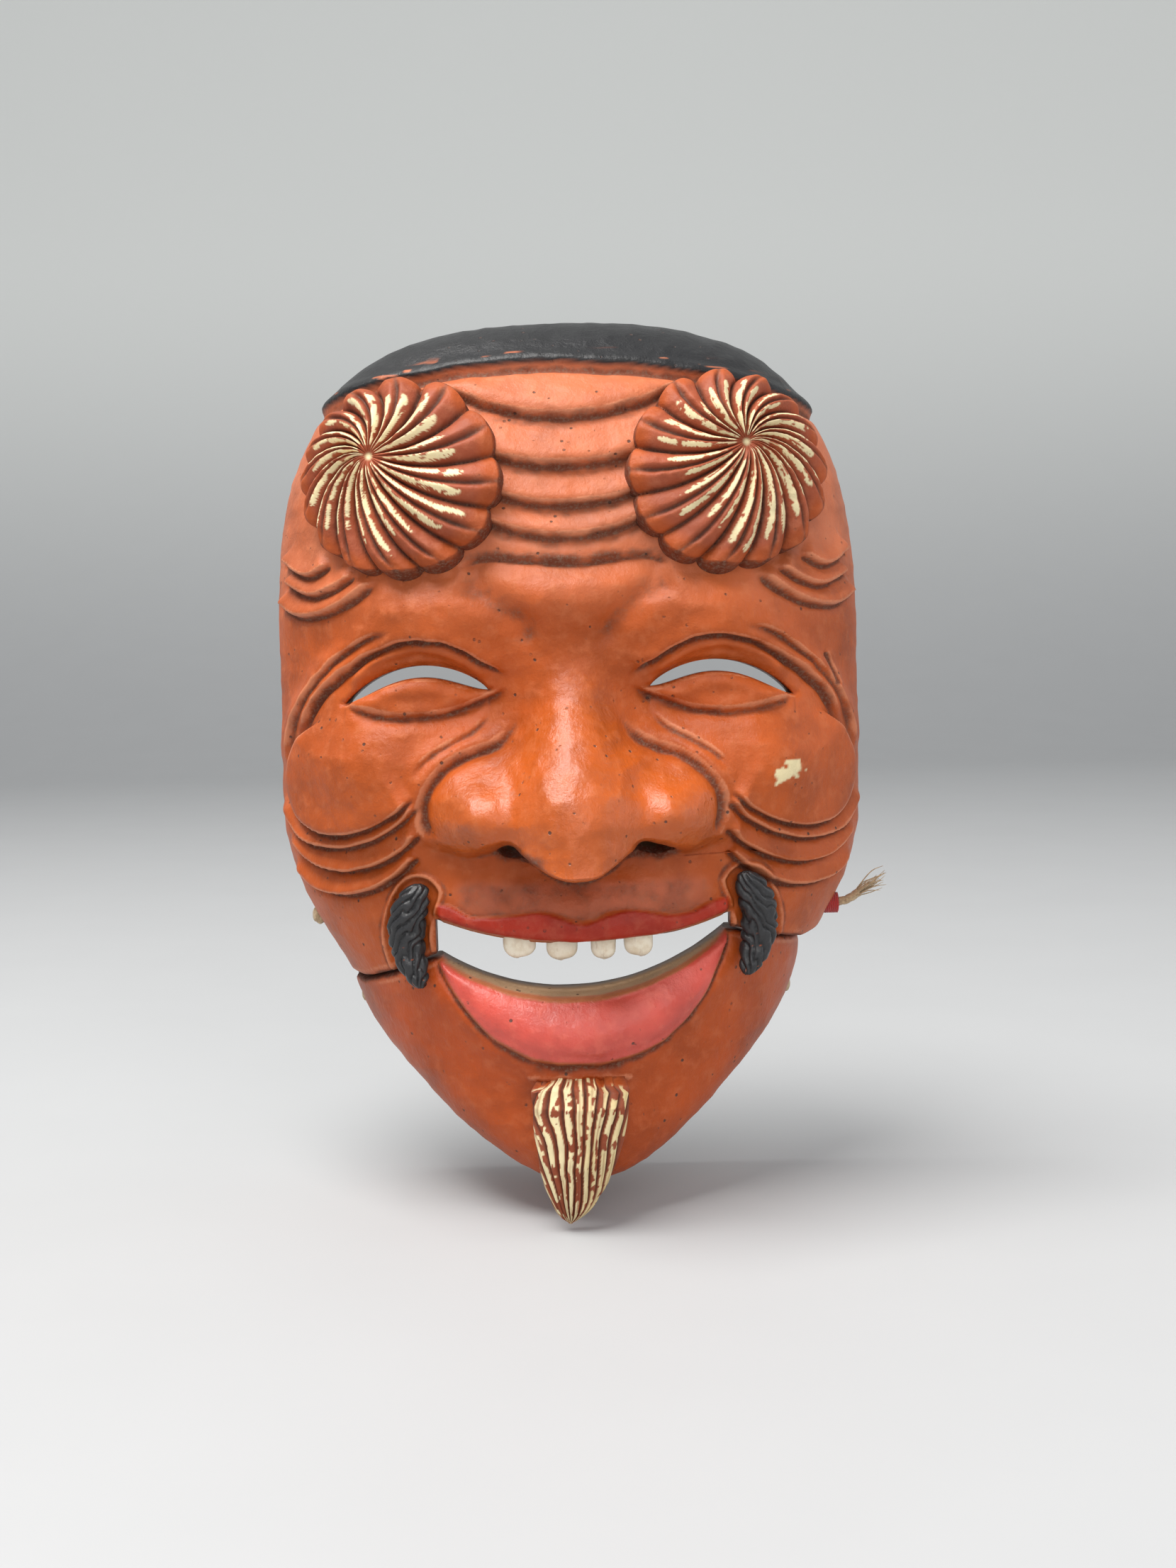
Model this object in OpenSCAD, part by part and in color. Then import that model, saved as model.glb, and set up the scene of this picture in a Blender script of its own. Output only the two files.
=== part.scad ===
// Laughing old man theatre mask with a cut jaw, carved in wood.
// Frame: +Z up, the face looks along -Y, the back rim lies in the plane y = 0,
// and the origin is midway between the two cord holes.

/* [Shell] */
// Widest part of the shell, at the cheekbones
mask_w = 144; // [138:1:150]
// Height of the crown above the cord holes
crown_z = 93; // [91:0.5:96]
// Depth of the forehead in front of the rim
brow_depth = 50; // [47:1:53]
// Thickness of the carved wall
wall = 7.5; // [6.5:0.5:8.5]

/* [Nose and cheeks] */
// How far the tip of the nose stands out of the face
nose_h = 24; // [20:1:27]
// Middle of a nose wing from the midline
wing_x = 23; // [20:0.5:25]
// How far a cheek stands out
cheek_h = 8; // [6:0.5:9.5]

/* [Mouth] */
// Half of the mouth's width
mouth_half = 34; // [32:0.5:36]
// Lower edge of the upper lip at the midline
lip_z = -52; // [-54:0.5:-50]
// Height of the open mouth at the midline
mouth_gap = 11; // [9:0.5:12]
// Rise of the upper lip from the midline to its corners
smile = 5.5; // [4:0.5:7]
// Rise of the lower lip from the midline to its corners
grin = 10; // [8:0.5:10.5]
// Middle of the mouth from the midline
mouth_x = 2; // [0:0.5:3]
// Rise of the jaw seam to the right, as a slope
tilt = 0.07; // [0.02:0.01:0.08]

/* [Jaw] */
// Widest part of the jaw, at the seam
jaw_w = 113; // [110:1:113.5]
// Lowest point of the jaw's rim
chin_z = -104; // [-106:0.5:-102]
// How far the chin hangs below the jaw's rim
chin_drop = 14.5; // [12:0.5:15]
// Gap between the jaw and the upper mask
seam_gap = 0.8; // [0.6:0.1:1.2]

/* [Eyes] */
// Middle of an eye slit from the midline
eye_x = 35; // [33:0.5:36]
// Half of an eye slit's length
eye_half = 16.5; // [14:0.5:18]
// Height of an eye slit at its middle
eye_gap = 3.8; // [3:0.1:4.5]

/* [Brow tufts, moustache and beard] */
// Middle of a brow tuft from the midline
brow_x = 36; // [35:0.5:37]
// Middle of a brow tuft above the cord holes
brow_z = 53; // [51:0.5:54]
// Radius of a brow tuft
brow_r = 23; // [21:0.5:23.5]
// Thickness of a brow tuft at its middle
brow_h = 7; // [5:0.5:8]
// Height of the beard tuft
beard_len = 34; // [31:1:35]
// Width of the beard tuft
beard_w = 22; // [20:0.5:24]

/* [Cord holes and jaw ties] */
// Radius of the two holes for the wearer's cords
cord_hole_r = 2; // [1.6:0.1:2.2]
// Depth of every side hole from the rim
hole_y = -9; // [-11:0.5:-8]
// Radius of the holes for the jaw ties
tie_hole_r = 1.5; // [1.4:0.05:1.7]
// Radius of the hemp tie
tie_r = 1.1; // [0.9:0.05:1.1]
// Height of the upper tie holes
tie_top_z = -50; // [-51:0.5:-49]
// Height of the lower tie holes, on the jaw's pivot
tie_low_z = -70; // [-71:0.5:-69]

/* [Hidden] */

// Colours of the painted wood, the hair tufts and the ties.
vermilion = [0.66, 0.25, 0.12];
tuft_brown = [0.55, 0.25, 0.14];
soot_black = [0.1, 0.1, 0.1];
shell_white = [0.93, 0.88, 0.76];
hemp = [0.72, 0.58, 0.4];
thread_red = [0.7, 0.13, 0.1];

// Grid steps of the upper mask and the jaw.
mask_cols = 44;
mask_rows = 40;
jaw_cols = 36;
jaw_rows = 16;

// A horizontal section of the shell: 1 at the midline, 0 at the rim.
function section(s) = pow(max(0, 1 - pow(abs(s), 2.4)), 1 / 2.2);
function bump(x, z, x0, z0, rx, rz) = exp(-pow((x - x0) / rx, 2) - pow((z - z0) / rz, 2));
function clamp01(t) = min(1, max(0, t));
function smooth(t) = let (c = clamp01(t)) c * c * (3 - 2 * c);
function unit(v) = v / norm(v);

// ---- Upper mask -------------------------------------------------------------

wide_z = 10;      // the outline is widest from here down to taper_z
taper_z = -27;
taper = 25;        // the outline has drawn in by this much at taper_end
taper_end = -75;

// Half width of the outline at height z, drawn in by t.
function mask_half(z, t = 0) = (z > wide_z
    ? pow(max(0, 1 - pow((z - wide_z) / (crown_z - t - wide_z), 3)), 1 / 3)
    : 1 - taper / (mask_w / 2) * pow(max(0, taper_z - z) / (taper_z - taper_end), 1.6))
    * (mask_w / 2 - t);

// Depth of the midline at height z, drawn in by t.
function mask_depth(z, t = 0) = (z > wide_z
    ? brow_depth * pow(max(0, 1 - pow((z - wide_z) / (crown_z - t - wide_z), 3.2)), 0.42)
    : brow_depth) - t * 1.1 * section((z - wide_z) / 90);

// The nose: a bridge that widens into a round tip, between two wings. Below,
// it is cut off along an arch over each nostril, at d from its middle.
wing_h = 13;
function bridge_half(z) = 8 + 8 * smooth((5 - z) / 26);
function bridge(d, z) = nose_h * pow(smooth((18 - z) / 44), 1.1) * exp(-pow(d / bridge_half(z), 2.6));
function nose_low(d) = -38 + 7.5 * smooth(d / 15) - 2.3 * exp(-pow((d - 25) / 6, 2));
function nose(x, z) = let (d = abs(x - 1))
    (bridge(d, z) + wing_h * bump(d, z, wing_x, -23, 9, 9.5)) * smooth((z - nose_low(d)) / 4.5);

// What the nose, brow, cheeks and upper lip add in front of the shell.
function mask_forms(x, z) = nose(x, z)
    + cheek_h * bump(abs(x), z, 48, -12, 17, 15)
    + 4 * bump(x, z, 0, 27, 20, 9)
    + 4.5 * bump(abs(x), z, 35, 23, 16, 7)
    - 4.5 * bump(abs(x), z, 20, 3, 11, 10)
    + 5 * bump(x, z, mouth_x, -46, 30, 9);

// Keeps the added forms away from the rim.
function inland(x, w) = 1 - pow(clamp01(abs(x) / max(w, 1)), 8);

function mask_skin(x, z) = let (w = mask_half(z))
    -mask_depth(z) * section(x / w) - mask_forms(x, z) * inland(x, w);

// The seam between the upper mask and the jaw, which falls towards the rim.
function seam(x) = lip_z - mouth_gap + grin - 7 * clamp01((abs(x - mouth_x) - mouth_half) / 19) + tilt * x;

// Height of the grid's lower edge on column angle a, found by repeated steps.
function edge_z(a, t, z, n) = n == 0 ? z
    : edge_z(a, t, seam(mask_half(z, t) * sin(a)) + seam_gap / 2, n - 1);

// Both shells run a little past the rim plane, and are cut back to it.
rim_spare = 1.5;
module behind_rim() {
    translate([-100, 0, -150]) cube([200, 20, 300]);
}

function mask_point(i, j, t) =
    let (a = -90 + 180 * i / mask_cols,
        low = edge_z(a, t, -57, 8),
        high = crown_z - t - 0.6,
        v = j / mask_rows,
        z = low + (high - low) * v,
        w = mask_half(z, t),
        x = w * sin(a))
    [x, i == 0 || i == mask_cols ? rim_spare
        : t == 0 ? mask_skin(x, z)
        : -mask_depth(z, t) * section(sin(a)) - nose(x, z) * 0.45, z];

// Faces of a shell whose outer and inner grids have the same steps.
function shell_faces(cols, rows) =
    let (n = cols + 1, m = n * (rows + 1))
    concat(
        [for (j = [0:rows - 1], i = [0:cols - 1]) each [
            [j * n + i, (j + 1) * n + i, j * n + i + 1],
            [j * n + i + 1, (j + 1) * n + i, (j + 1) * n + i + 1],
            [m + j * n + i, m + j * n + i + 1, m + (j + 1) * n + i],
            [m + j * n + i + 1, m + (j + 1) * n + i + 1, m + (j + 1) * n + i]]],
        [for (i = [0:cols - 1]) each [
            [i, i + 1, m + i],
            [i + 1, m + i + 1, m + i]]],
        [for (j = [0:rows - 1]) each [
            [j * n, m + j * n, (j + 1) * n],
            [m + j * n, m + (j + 1) * n, (j + 1) * n],
            [j * n + cols, (j + 1) * n + cols, m + j * n + cols],
            [m + j * n + cols, (j + 1) * n + cols, m + (j + 1) * n + cols]]],
        [[for (i = [cols:-1:0]) rows * n + i]],
        [[for (i = [0:cols]) m + rows * n + i]],
        [[rows * n, m + rows * n, m + rows * n + cols, rows * n + cols]]);

module mask_shell() {
    points = [for (t = [0, wall], j = [0:mask_rows], i = [0:mask_cols]) mask_point(i, j, t)];
    polyhedron(points = points, faces = shell_faces(mask_cols, mask_rows));
}

// Extrudes an outline drawn in x and z through the front of the shell.
module through_front(y_from, y_to) {
    translate([0, y_to, 0]) rotate([90, 0, 0]) linear_extrude(y_to - y_from) children();
}

// Lips: height of the upper and lower edges of the mouth at x.
function mouth_s(x) = (x - mouth_x) / mouth_half;
function upper_lip(x) = lip_z + smile * pow(abs(mouth_s(x)), 2.2);
function lower_lip(x) = lip_z - mouth_gap + grin * pow(mouth_s(x), 2) + tilt * x;
mouth_steps = 24;
function mouth_xs() = [for (k = [0:mouth_steps]) mouth_x - mouth_half + 2 * mouth_half * k / mouth_steps];

module under_upper_lip() {
    xs = mouth_xs();
    polygon(concat([for (x = xs) [x, upper_lip(x)]],
        [[xs[mouth_steps], chin_z], [xs[0], chin_z]]));
}

module over_lower_lip() {
    xs = mouth_xs();
    polygon(concat([for (x = xs) [x, lower_lip(x)]],
        [[xs[mouth_steps], 0], [xs[0], 0]]));
}

// A laughing eye: a slit that arches up, higher at its middle.
eye_steps = 12;
eye_z = 3.5;
eye_arch = 4;
module eye_slit(side) {
    us = [for (k = [0:eye_steps]) -1 + 2 * k / eye_steps];
    translate([side * eye_x, eye_z]) polygon(concat(
        [for (u = us) [u * eye_half, eye_arch * (1 - u * u) + eye_gap * (1 - u * u)]],
        [for (k = [eye_steps - 1:-1:1]) let (u = us[k]) [u * eye_half, eye_arch * (1 - u * u)]]));
}

// A nostril bored up and back from under a nose wing into the hollow.
nostril_r = 2.6;
module nostril(side) {
    translate([3 + side * 15, -48, -18]) rotate([-155, 0, 0]) cylinder(r = nostril_r, h = 30, $fn = 32);
}

// A round hole along X through one side wall.
module side_hole(side, r, z) {
    translate([side * mask_w * 0.3, hole_y, z]) rotate([0, side * 90, 0]) cylinder(r = r, h = 40, $fn = 48);
}

// The ties' knots sit in shallow seats in the outside of the walls.
seat_r = 3;
seat_depth = 2.4;
cheek_x = mask_half(tie_top_z) - 0.6;
jowl_x = 52;
module knot_seat(side, x, z) {
    translate([side * (x - seat_depth), hole_y, z]) rotate([0, side * 90, 0])
        cylinder(r = seat_r, h = 10, $fn = 48);
}

// Teeth hang in the mouth from sockets in the underside of the upper lip.
tooth_t = 4.5;
tooth_y = -49.5;
tooth_drop = 4;
tooth_root = 3;
tooth_xs = [-12.6, -3, 6.4, 14.4];
tooth_ws = [7.4, 7.2, 5.8, 6.6];
function tooth_low(k) = upper_lip(tooth_xs[k]) - tooth_drop;
module tooth_block(k, grow = 0) {
    h = tooth_drop + tooth_root;
    translate([tooth_xs[k] - tooth_ws[k] / 2 - grow, tooth_y - tooth_t / 2 - grow, tooth_low(k) - grow])
        cube([tooth_ws[k] + 2 * grow, tooth_t + 2 * grow, h + 2 * grow]);
}

module upper_mask() {
    color(vermilion) difference() {
        mask_shell();
        behind_rim();
        through_front(-100, 5) under_upper_lip();
        for (side = [-1, 1]) {
            through_front(-70, -20) eye_slit(side);
            nostril(side);
            side_hole(side, cord_hole_r, 0);
            side_hole(side, tie_hole_r, tie_top_z);
            knot_seat(side, cheek_x, tie_top_z);
        }
        for (k = [0:3]) tooth_block(k, 0.05);
    }
}

// ---- Lower jaw --------------------------------------------------------------

jaw_top = -59;
jaw_depth_mid = 50;

function jaw_s(z, t = 0) = clamp01((jaw_top - z) / (jaw_top - chin_z - t));
function jaw_half(z, t = 0) = (jaw_w / 2 - t) * pow(1 - pow(jaw_s(z, t), 2), 0.85);
function jaw_depth(z, t = 0) = (jaw_depth_mid - t) * pow(1 - pow(jaw_s(z, t), 6), 0.38);

// What the lower lip and the chin add in front of the jaw.
function lip_middle(x) = lower_lip(x) - 9;
function jaw_forms(x, z) = 6 * bump(0, z, 0, lip_middle(x), 1, 6) * bump(x, 0, mouth_x, 0, 34, 1)
    + 3 * bump(x, z, mouth_x, -86, 18, 8);

// The jaw leaves more room behind its pivot, where it rises as the mouth opens.
pivot_relief = 1.7;
function jaw_edge(x, a) = seam(x) - seam_gap / 2 - pivot_relief * smooth((abs(sin(a)) - 0.97) / 0.022);
function jaw_edge_z(a, t, z, n) = n == 0 ? z
    : jaw_edge_z(a, t, jaw_edge(jaw_half(z, t) * sin(a), a), n - 1);

// The chin hangs lower the further it is from the rim.
function chin_sag(y, z) = chin_drop * smooth((jaw_top - 4 - z) / 34) * clamp01(-y / 50);

function jaw_point(i, j, t) =
    let (a = 90 - 180 * i / jaw_cols,
        high = jaw_edge_z(a, t, -60, 8),
        low = chin_z + t + 0.5,
        v = 1 - pow(1 - j / jaw_rows, 1.3),
        z = high + (low - high) * v,
        w = jaw_half(z, t),
        x = w * sin(a),
        y = i == 0 || i == jaw_cols ? rim_spare
            : -jaw_depth(z, t) * section(sin(a)) - (t == 0 ? jaw_forms(x, z) * inland(x, w) : 0))
    [x, y, z - chin_sag(y, z)];

module lower_jaw() {
    points = [for (t = [0, wall], j = [0:jaw_rows], i = [0:jaw_cols]) jaw_point(i, j, t)];
    color(vermilion) difference() {
        polyhedron(points = points, faces = shell_faces(jaw_cols, jaw_rows));
        behind_rim();
        through_front(-100, 5) over_lower_lip();
        for (side = [-1, 1]) {
            side_hole(side, tie_hole_r, tie_low_z);
            knot_seat(side, jowl_x, tie_low_z);
        }
    }
}

// ---- Tufts, teeth and ties --------------------------------------------------

// Outward normal of the upper mask's skin at x and z.
function mask_normal(x, z) = let (e = 0.5,
    dx = (mask_skin(x + e, z) - mask_skin(x - e, z)) / (2 * e),
    dz = (mask_skin(x, z + e) - mask_skin(x, z - e)) / (2 * e))
    unit([dx, -1, dz]);

// A swirled tuft that lies on the forehead, with a scalloped edge.
tuft_rings = 8;
tuft_spokes = 48;
tuft_lobes = 16;
glue_line = 0.3;
function tuft_reach(a) = brow_r * (0.97 + 0.03 * cos(tuft_lobes * a));
function tuft_point(side, k, a, lift) =
    let (r = tuft_reach(a) * k / tuft_rings,
        x = side * brow_x + r * cos(a),
        z = brow_z + r * sin(a))
    [x, mask_skin(x, z), z] + mask_normal(x, z) * lift;
function dome(k) = glue_line + 1 + (brow_h - 1) * sqrt(max(0, 1 - pow(k / tuft_rings, 2.6)));

module brow_tuft(side) {
    n = tuft_spokes;
    m = 1 + tuft_rings * n;
    layers = [for (top = [0, 1]) each concat(
        [tuft_point(side, 0, 0, top ? dome(0) : glue_line)],
        [for (k = [1:tuft_rings], s = [0:n - 1])
            tuft_point(side, k, s * 360 / n, top ? dome(k) : glue_line)])];
    faces = concat(
        [for (s = [0:n - 1]) let (q = (s + 1) % n) each [
            [0, 1 + s, 1 + q],
            [m, m + 1 + q, m + 1 + s]]],
        [for (k = [0:tuft_rings - 2], s = [0:n - 1])
            let (q = (s + 1) % n, b = 1 + k * n, c = b + n) each [
                [b + s, c + s, b + q], [b + q, c + s, c + q],
                [m + b + s, m + b + q, m + c + s], [m + b + q, m + c + q, m + c + s]]],
        [for (s = [0:n - 1]) let (q = (s + 1) % n, b = 1 + (tuft_rings - 1) * n) each [
            [b + s, m + b + s, b + q], [b + q, m + b + s, m + b + q]]]);
    color(tuft_brown) polyhedron(points = layers, faces = faces);
}

// A tube of changing elliptical section along a route of points. Each ring
// lies level, with half widths radii[k][0] along X and radii[k][1] along Y.
module level_tube(route, radii, sides) {
    rings = len(route);
    points = [for (k = [0:rings - 1], s = [0:sides - 1]) let (a = s * 360 / sides)
        route[k] + [radii[k][0] * cos(a), radii[k][1] * sin(a), 0]];
    faces = concat(
        [for (k = [0:rings - 2], s = [0:sides - 1])
            let (q = (s + 1) % sides, b = k * sides, c = b + sides) each [
                [b + s, c + s, b + q], [b + q, c + s, c + q]]],
        [[for (s = [0:sides - 1]) s]],
        [[for (s = [sides - 1:-1:0]) (rings - 1) * sides + s]]);
    polyhedron(points = points, faces = faces);
}

// The moustache tufts lie on the mouth's corners and hang over the seam.
moustache_len = 22;
moustache_t = 2.4;
moustache_clear = 0.5;
moustache_rows = 8;
module moustache(side, x0, z0) {
    us = [for (k = [0:moustache_rows]) k / moustache_rows];
    front = [for (u = us) let (x = x0 + side * 3 * sin(180 * u), z = z0 - moustache_len * u)
        [x, mask_skin(x, max(z, -54)) - moustache_t - moustache_clear - 1.4 * u, z]];
    radii = [for (u = us) let (f = pow(sin(12 + 156 * u), 0.45)) [4.2 * f, moustache_t * f]];
    color(soot_black) level_tube([for (k = [moustache_rows:-1:0]) front[k]],
        [for (k = [moustache_rows:-1:0]) radii[k]], 16);
}

// The beard tuft is glued to the chin and ends in a point below it.
beard_top = -82;
beard_rows = 14;
function jaw_front(z) = -jaw_depth(z) - jaw_forms(mouth_x, z);
function sagged(z) = z - chin_sag(jaw_front(z), z);
// Grid height of the point of the jaw's midline that lies at height z.
function unsagged(z, low, high, n) = let (m = (low + high) / 2) n == 0 ? m
    : sagged(m) < z ? unsagged(z, m, high, n - 1) : unsagged(z, low, m, n - 1);
function chin_front(z) = jaw_front(unsagged(z, chin_z + 3, jaw_top, 20));
chin_tip = -99;
module beard_tuft() {
    us = [for (k = [beard_rows:-1:0]) k / beard_rows];
    half = [for (u = us) max(0.6, beard_w / 2 * pow(1 - pow(u, 2.2), 0.85))];
    thick = [for (u = us) max(0.6, 4 * pow(1 - pow(u, 3), 0.6) * min(1, 0.35 + 3 * u))];
    z_of = [for (u = us) beard_top - beard_len * u];
    route = [for (k = [0:beard_rows]) [0.5 - 3 * us[k] * us[k],
        chin_front(max(z_of[k], chin_tip)) - glue_line - thick[k] - (z_of[k] < chin_tip ? 0.4 : 0), z_of[k]]];
    color(shell_white) level_tube(route, [for (k = [0:beard_rows]) [half[k], thick[k]]], 24);
}

module tooth(k) {
    color(shell_white) intersection() {
        tooth_block(k);
        translate([tooth_xs[k], tooth_y, tooth_low(k) + tooth_ws[k] / 2 - 0.3]) rotate([90, 0, 0])
            union() {
                cylinder(r = tooth_ws[k] / 2 + 0.6, h = tooth_t * 2, center = true, $fn = 48);
                translate([-tooth_ws[k], 0, -tooth_t])
                    cube([tooth_ws[k] * 2, tooth_ws[k] * 2, tooth_t * 2]);
            }
    }
}

// A tie's route, as points with a radius. It starts in the cheek's seat, goes
// through the wall, down inside the seam, and out through the jaw to its knot.
tie_inset = 8;     // how far inside the cheek's wall the tie hangs, clear of the jaw
inner_top = cheek_x - wall - tie_inset;
inner_low = jowl_x - wall - 2.2;
tie_route = concat(
    [for (x = [inner_top + 5, inner_top + 2]) [x, hole_y, tie_top_z, tie_r]],
    [for (a = [30:30:90]) [inner_top + 2 - 3 * sin(a), hole_y, tie_top_z - 3 * (1 - cos(a)), tie_r]],
    [for (u = [0.3, 0.65, 1])
        [inner_top - 1 + (inner_low - inner_top + 1) * smooth(u), hole_y,
            tie_top_z - 3 + (tie_low_z - tie_top_z + 6) * 0.55 * u, tie_r]],
    [for (a = [0:30:90]) [inner_low + 3 * (1 - cos(a)), hole_y, tie_low_z + 3 - 3 * sin(a), tie_r]]);
// A knot that ends a tie in the seat at x.
knot_rings = [[-3, tie_r], [-2, tie_r], [-1.7, 2.1], [-0.3, 2.5], [1, 2.1], [1.7, 1]];
function knot(x, z) = [for (p = knot_rings) [x + p[0], hole_y, z, p[1]]];
function reversed(v) = [for (k = [len(v) - 1:-1:0]) v[k]];
// The right tie ends in a tail outside the cheek.
tail = [[cheek_x + 15, hole_y + 1, tie_top_z + 8, tie_r], [cheek_x + 11, hole_y + 0.5, tie_top_z + 5, tie_r],
    [cheek_x + 7.5, hole_y, tie_top_z + 2, tie_r], [cheek_x + 4, hole_y, tie_top_z, tie_r],
    [cheek_x - 1, hole_y, tie_top_z, tie_r]];
tie_sides = 8;
function place(p) = [p[0], p[1], p[2]];
function heading(route, k) = unit(place(route[min(k + 1, len(route) - 1)]) - place(route[max(k - 1, 0)]));

module tie_tube(route, side) {
    count = len(route);
    points = [for (k = [0:count - 1], s = [0:tie_sides - 1])
        let (t = heading(route, k), u = [0, 1, 0], v = cross(t, u), a = s * 360 / tie_sides,
            p = place(route[k]) + route[k][3] * (cos(a) * u + sin(a) * v))
        [side * p[0], p[1], p[2]]];
    faces = concat(
        [for (k = [0:count - 2], s = [0:tie_sides - 1])
            let (q = (s + 1) % tie_sides, b = k * tie_sides, c = b + tie_sides) each [
                [b + s, b + q, c + s], [b + q, c + q, c + s]]],
        [[for (s = [tie_sides - 1:-1:0]) s]],
        [[for (s = [0:tie_sides - 1]) (count - 1) * tie_sides + s]]);
    polyhedron(points = points, faces = side < 0 ? faces : [for (f = faces) reversed(f)]);
}

module jaw_tie(side) {
    start = side > 0 ? tail : reversed(knot(cheek_x, tie_top_z));
    color(hemp) tie_tube(concat(start, tie_route, knot(jowl_x, tie_low_z)), side);
}

// Red thread wound round the right tie stops it pulling through the cheek.
binding_r = 2.6;
binding_l = 4.4;
module tie_binding() {
    translate([cheek_x - seat_depth + 0.3, hole_y, tie_top_z]) rotate([0, 90, 0])
        color(thread_red) difference() {
            cylinder(r = binding_r, h = binding_l, $fn = 48);
            translate([0, 0, -1]) cylinder(r = tie_r + 0.3, h = binding_l + 2, $fn = 48);
        }
}

upper_mask();
lower_jaw();
brow_tuft(-1);  // brow_tuft_left
brow_tuft(1);  // brow_tuft_right
moustache(-1, -35.5, -40);  // moustache_left
moustache(1, 39.5, -39);  // moustache_right
beard_tuft();
tooth(0);  // tooth_1
tooth(1);  // tooth_2
tooth(2);  // tooth_3
tooth(3);  // tooth_4
jaw_tie(-1);  // jaw_tie_left
jaw_tie(1);  // jaw_tie_right
tie_binding();
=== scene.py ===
"""Looks of the laughing old man mask: carved, painted and worn wood.

Shapes are worked out in millimetres with numpy, in the frame of the CAD part,
and become metres when a mesh is made. Each field below is a function of x and
z, so that the carving, the paint and the dirt on it always agree.
"""

import math

import bpy
import numpy as np
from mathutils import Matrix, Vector
from mathutils.kdtree import KDTree


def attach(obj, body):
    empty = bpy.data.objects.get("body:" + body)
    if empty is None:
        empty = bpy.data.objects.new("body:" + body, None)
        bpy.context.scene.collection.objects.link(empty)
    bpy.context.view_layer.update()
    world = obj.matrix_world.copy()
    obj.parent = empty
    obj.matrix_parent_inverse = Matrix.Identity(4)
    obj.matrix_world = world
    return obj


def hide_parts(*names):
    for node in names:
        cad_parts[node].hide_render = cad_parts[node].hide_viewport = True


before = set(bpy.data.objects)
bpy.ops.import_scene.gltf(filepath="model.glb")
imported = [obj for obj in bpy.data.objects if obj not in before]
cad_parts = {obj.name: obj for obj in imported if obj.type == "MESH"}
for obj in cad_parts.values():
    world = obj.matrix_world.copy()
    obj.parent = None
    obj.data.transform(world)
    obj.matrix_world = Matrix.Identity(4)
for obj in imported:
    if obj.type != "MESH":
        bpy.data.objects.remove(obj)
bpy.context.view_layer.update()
MM = 0.001


# ---- Helpers for fields ------------------------------------------------------

def smooth(t):
    c = np.clip(t, 0.0, 1.0)
    return c * c * (3 - 2 * c)


def bell(t):
    return np.exp(-np.square(t))


def bump(x, z, x0, z0, rx, rz):
    return bell((x - x0) / rx) * bell((z - z0) / rz)


def mix(a, b, t):
    return a + (b - a) * t


def lattice(seed):
    return np.random.default_rng(seed).random((128, 128))


def noise(u, v, size, seed):
    """Smooth noise from 0 to 1 with lumps of the given size."""
    grid = lattice(seed)
    a, b = np.asarray(u) / size + 900.0, np.asarray(v) / size + 900.0
    i, j = np.floor(a).astype(int), np.floor(b).astype(int)
    s, t = smooth(a - i), smooth(b - j)
    i, j, k, m = i % 128, j % 128, (i + 1) % 128, (j + 1) % 128
    low = mix(grid[i, j], grid[k, j], s)
    high = mix(grid[i, m], grid[k, m], s)
    return mix(low, high, t)


def gouges(u, v, size, seed):
    """Scalloped tool cuts: 0 in the middle of a cut, about 1 on the crests between cuts."""
    jitter_u, jitter_v = lattice(seed), lattice(seed + 1)
    a, b = np.asarray(u) / size + 900.0, np.asarray(v) / size + 900.0
    i, j = np.floor(a).astype(int), np.floor(b).astype(int)
    best = np.full(a.shape, 9.0)
    for di in (-1, 0, 1):
        for dj in (-1, 0, 1):
            p, q = i + di, j + dj
            du = p + 0.15 + 0.7 * jitter_u[p % 128, q % 128] - a
            dv = q + 0.15 + 0.7 * jitter_v[p % 128, q % 128] - b
            best = np.minimum(best, du * du + dv * dv)
    return best


def spline(points, steps=14):
    """A Catmull-Rom curve through the points."""
    p = np.array(points, float)
    p = np.vstack([2 * p[0] - p[1], p, 2 * p[-1] - p[-2]])
    t = np.linspace(0, 1, steps, endpoint=False)[:, None]
    rows = []
    for k in range(1, len(p) - 2):
        a, b, c, d = p[k - 1], p[k], p[k + 1], p[k + 2]
        rows.append(0.5 * (2 * b + (c - a) * t + (2 * a - 5 * b + 4 * c - d) * t * t
                           + (3 * b - 3 * c + d - a) * t ** 3))
    rows.append(p[-2][None])
    return np.vstack(rows)


def along(points, x, z, reach):
    """The points near a path, their distance from it, positive on its left, and their place on it."""
    p = spline(points)
    near = ((x > p[:, 0].min() - reach) & (x < p[:, 0].max() + reach)
            & (z > p[:, 1].min() - reach) & (z < p[:, 1].max() + reach))
    xs, zs = x[near], z[near]
    best, side, place = np.full(xs.shape, 1e9), np.ones(xs.shape), np.zeros(xs.shape)
    lengths = np.hypot(*np.diff(p, axis=0).T)
    starts = np.concatenate([[0], np.cumsum(lengths)])
    for k, length in enumerate(lengths):
        (ax, az), (dx, dz) = p[k], (p[k + 1] - p[k]) / length
        t = np.clip((xs - ax) * dx + (zs - az) * dz, 0, length)
        ox, oz = xs - ax - t * dx, zs - az - t * dz
        d = np.hypot(ox, oz)
        closer = d < best
        best = np.where(closer, d, best)
        side = np.where(closer, np.where(dx * oz - dz * ox < 0, -1.0, 1.0), side)
        place = np.where(closer, (starts[k] + t) / starts[-1], place)
    return near, best * side, place


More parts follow.
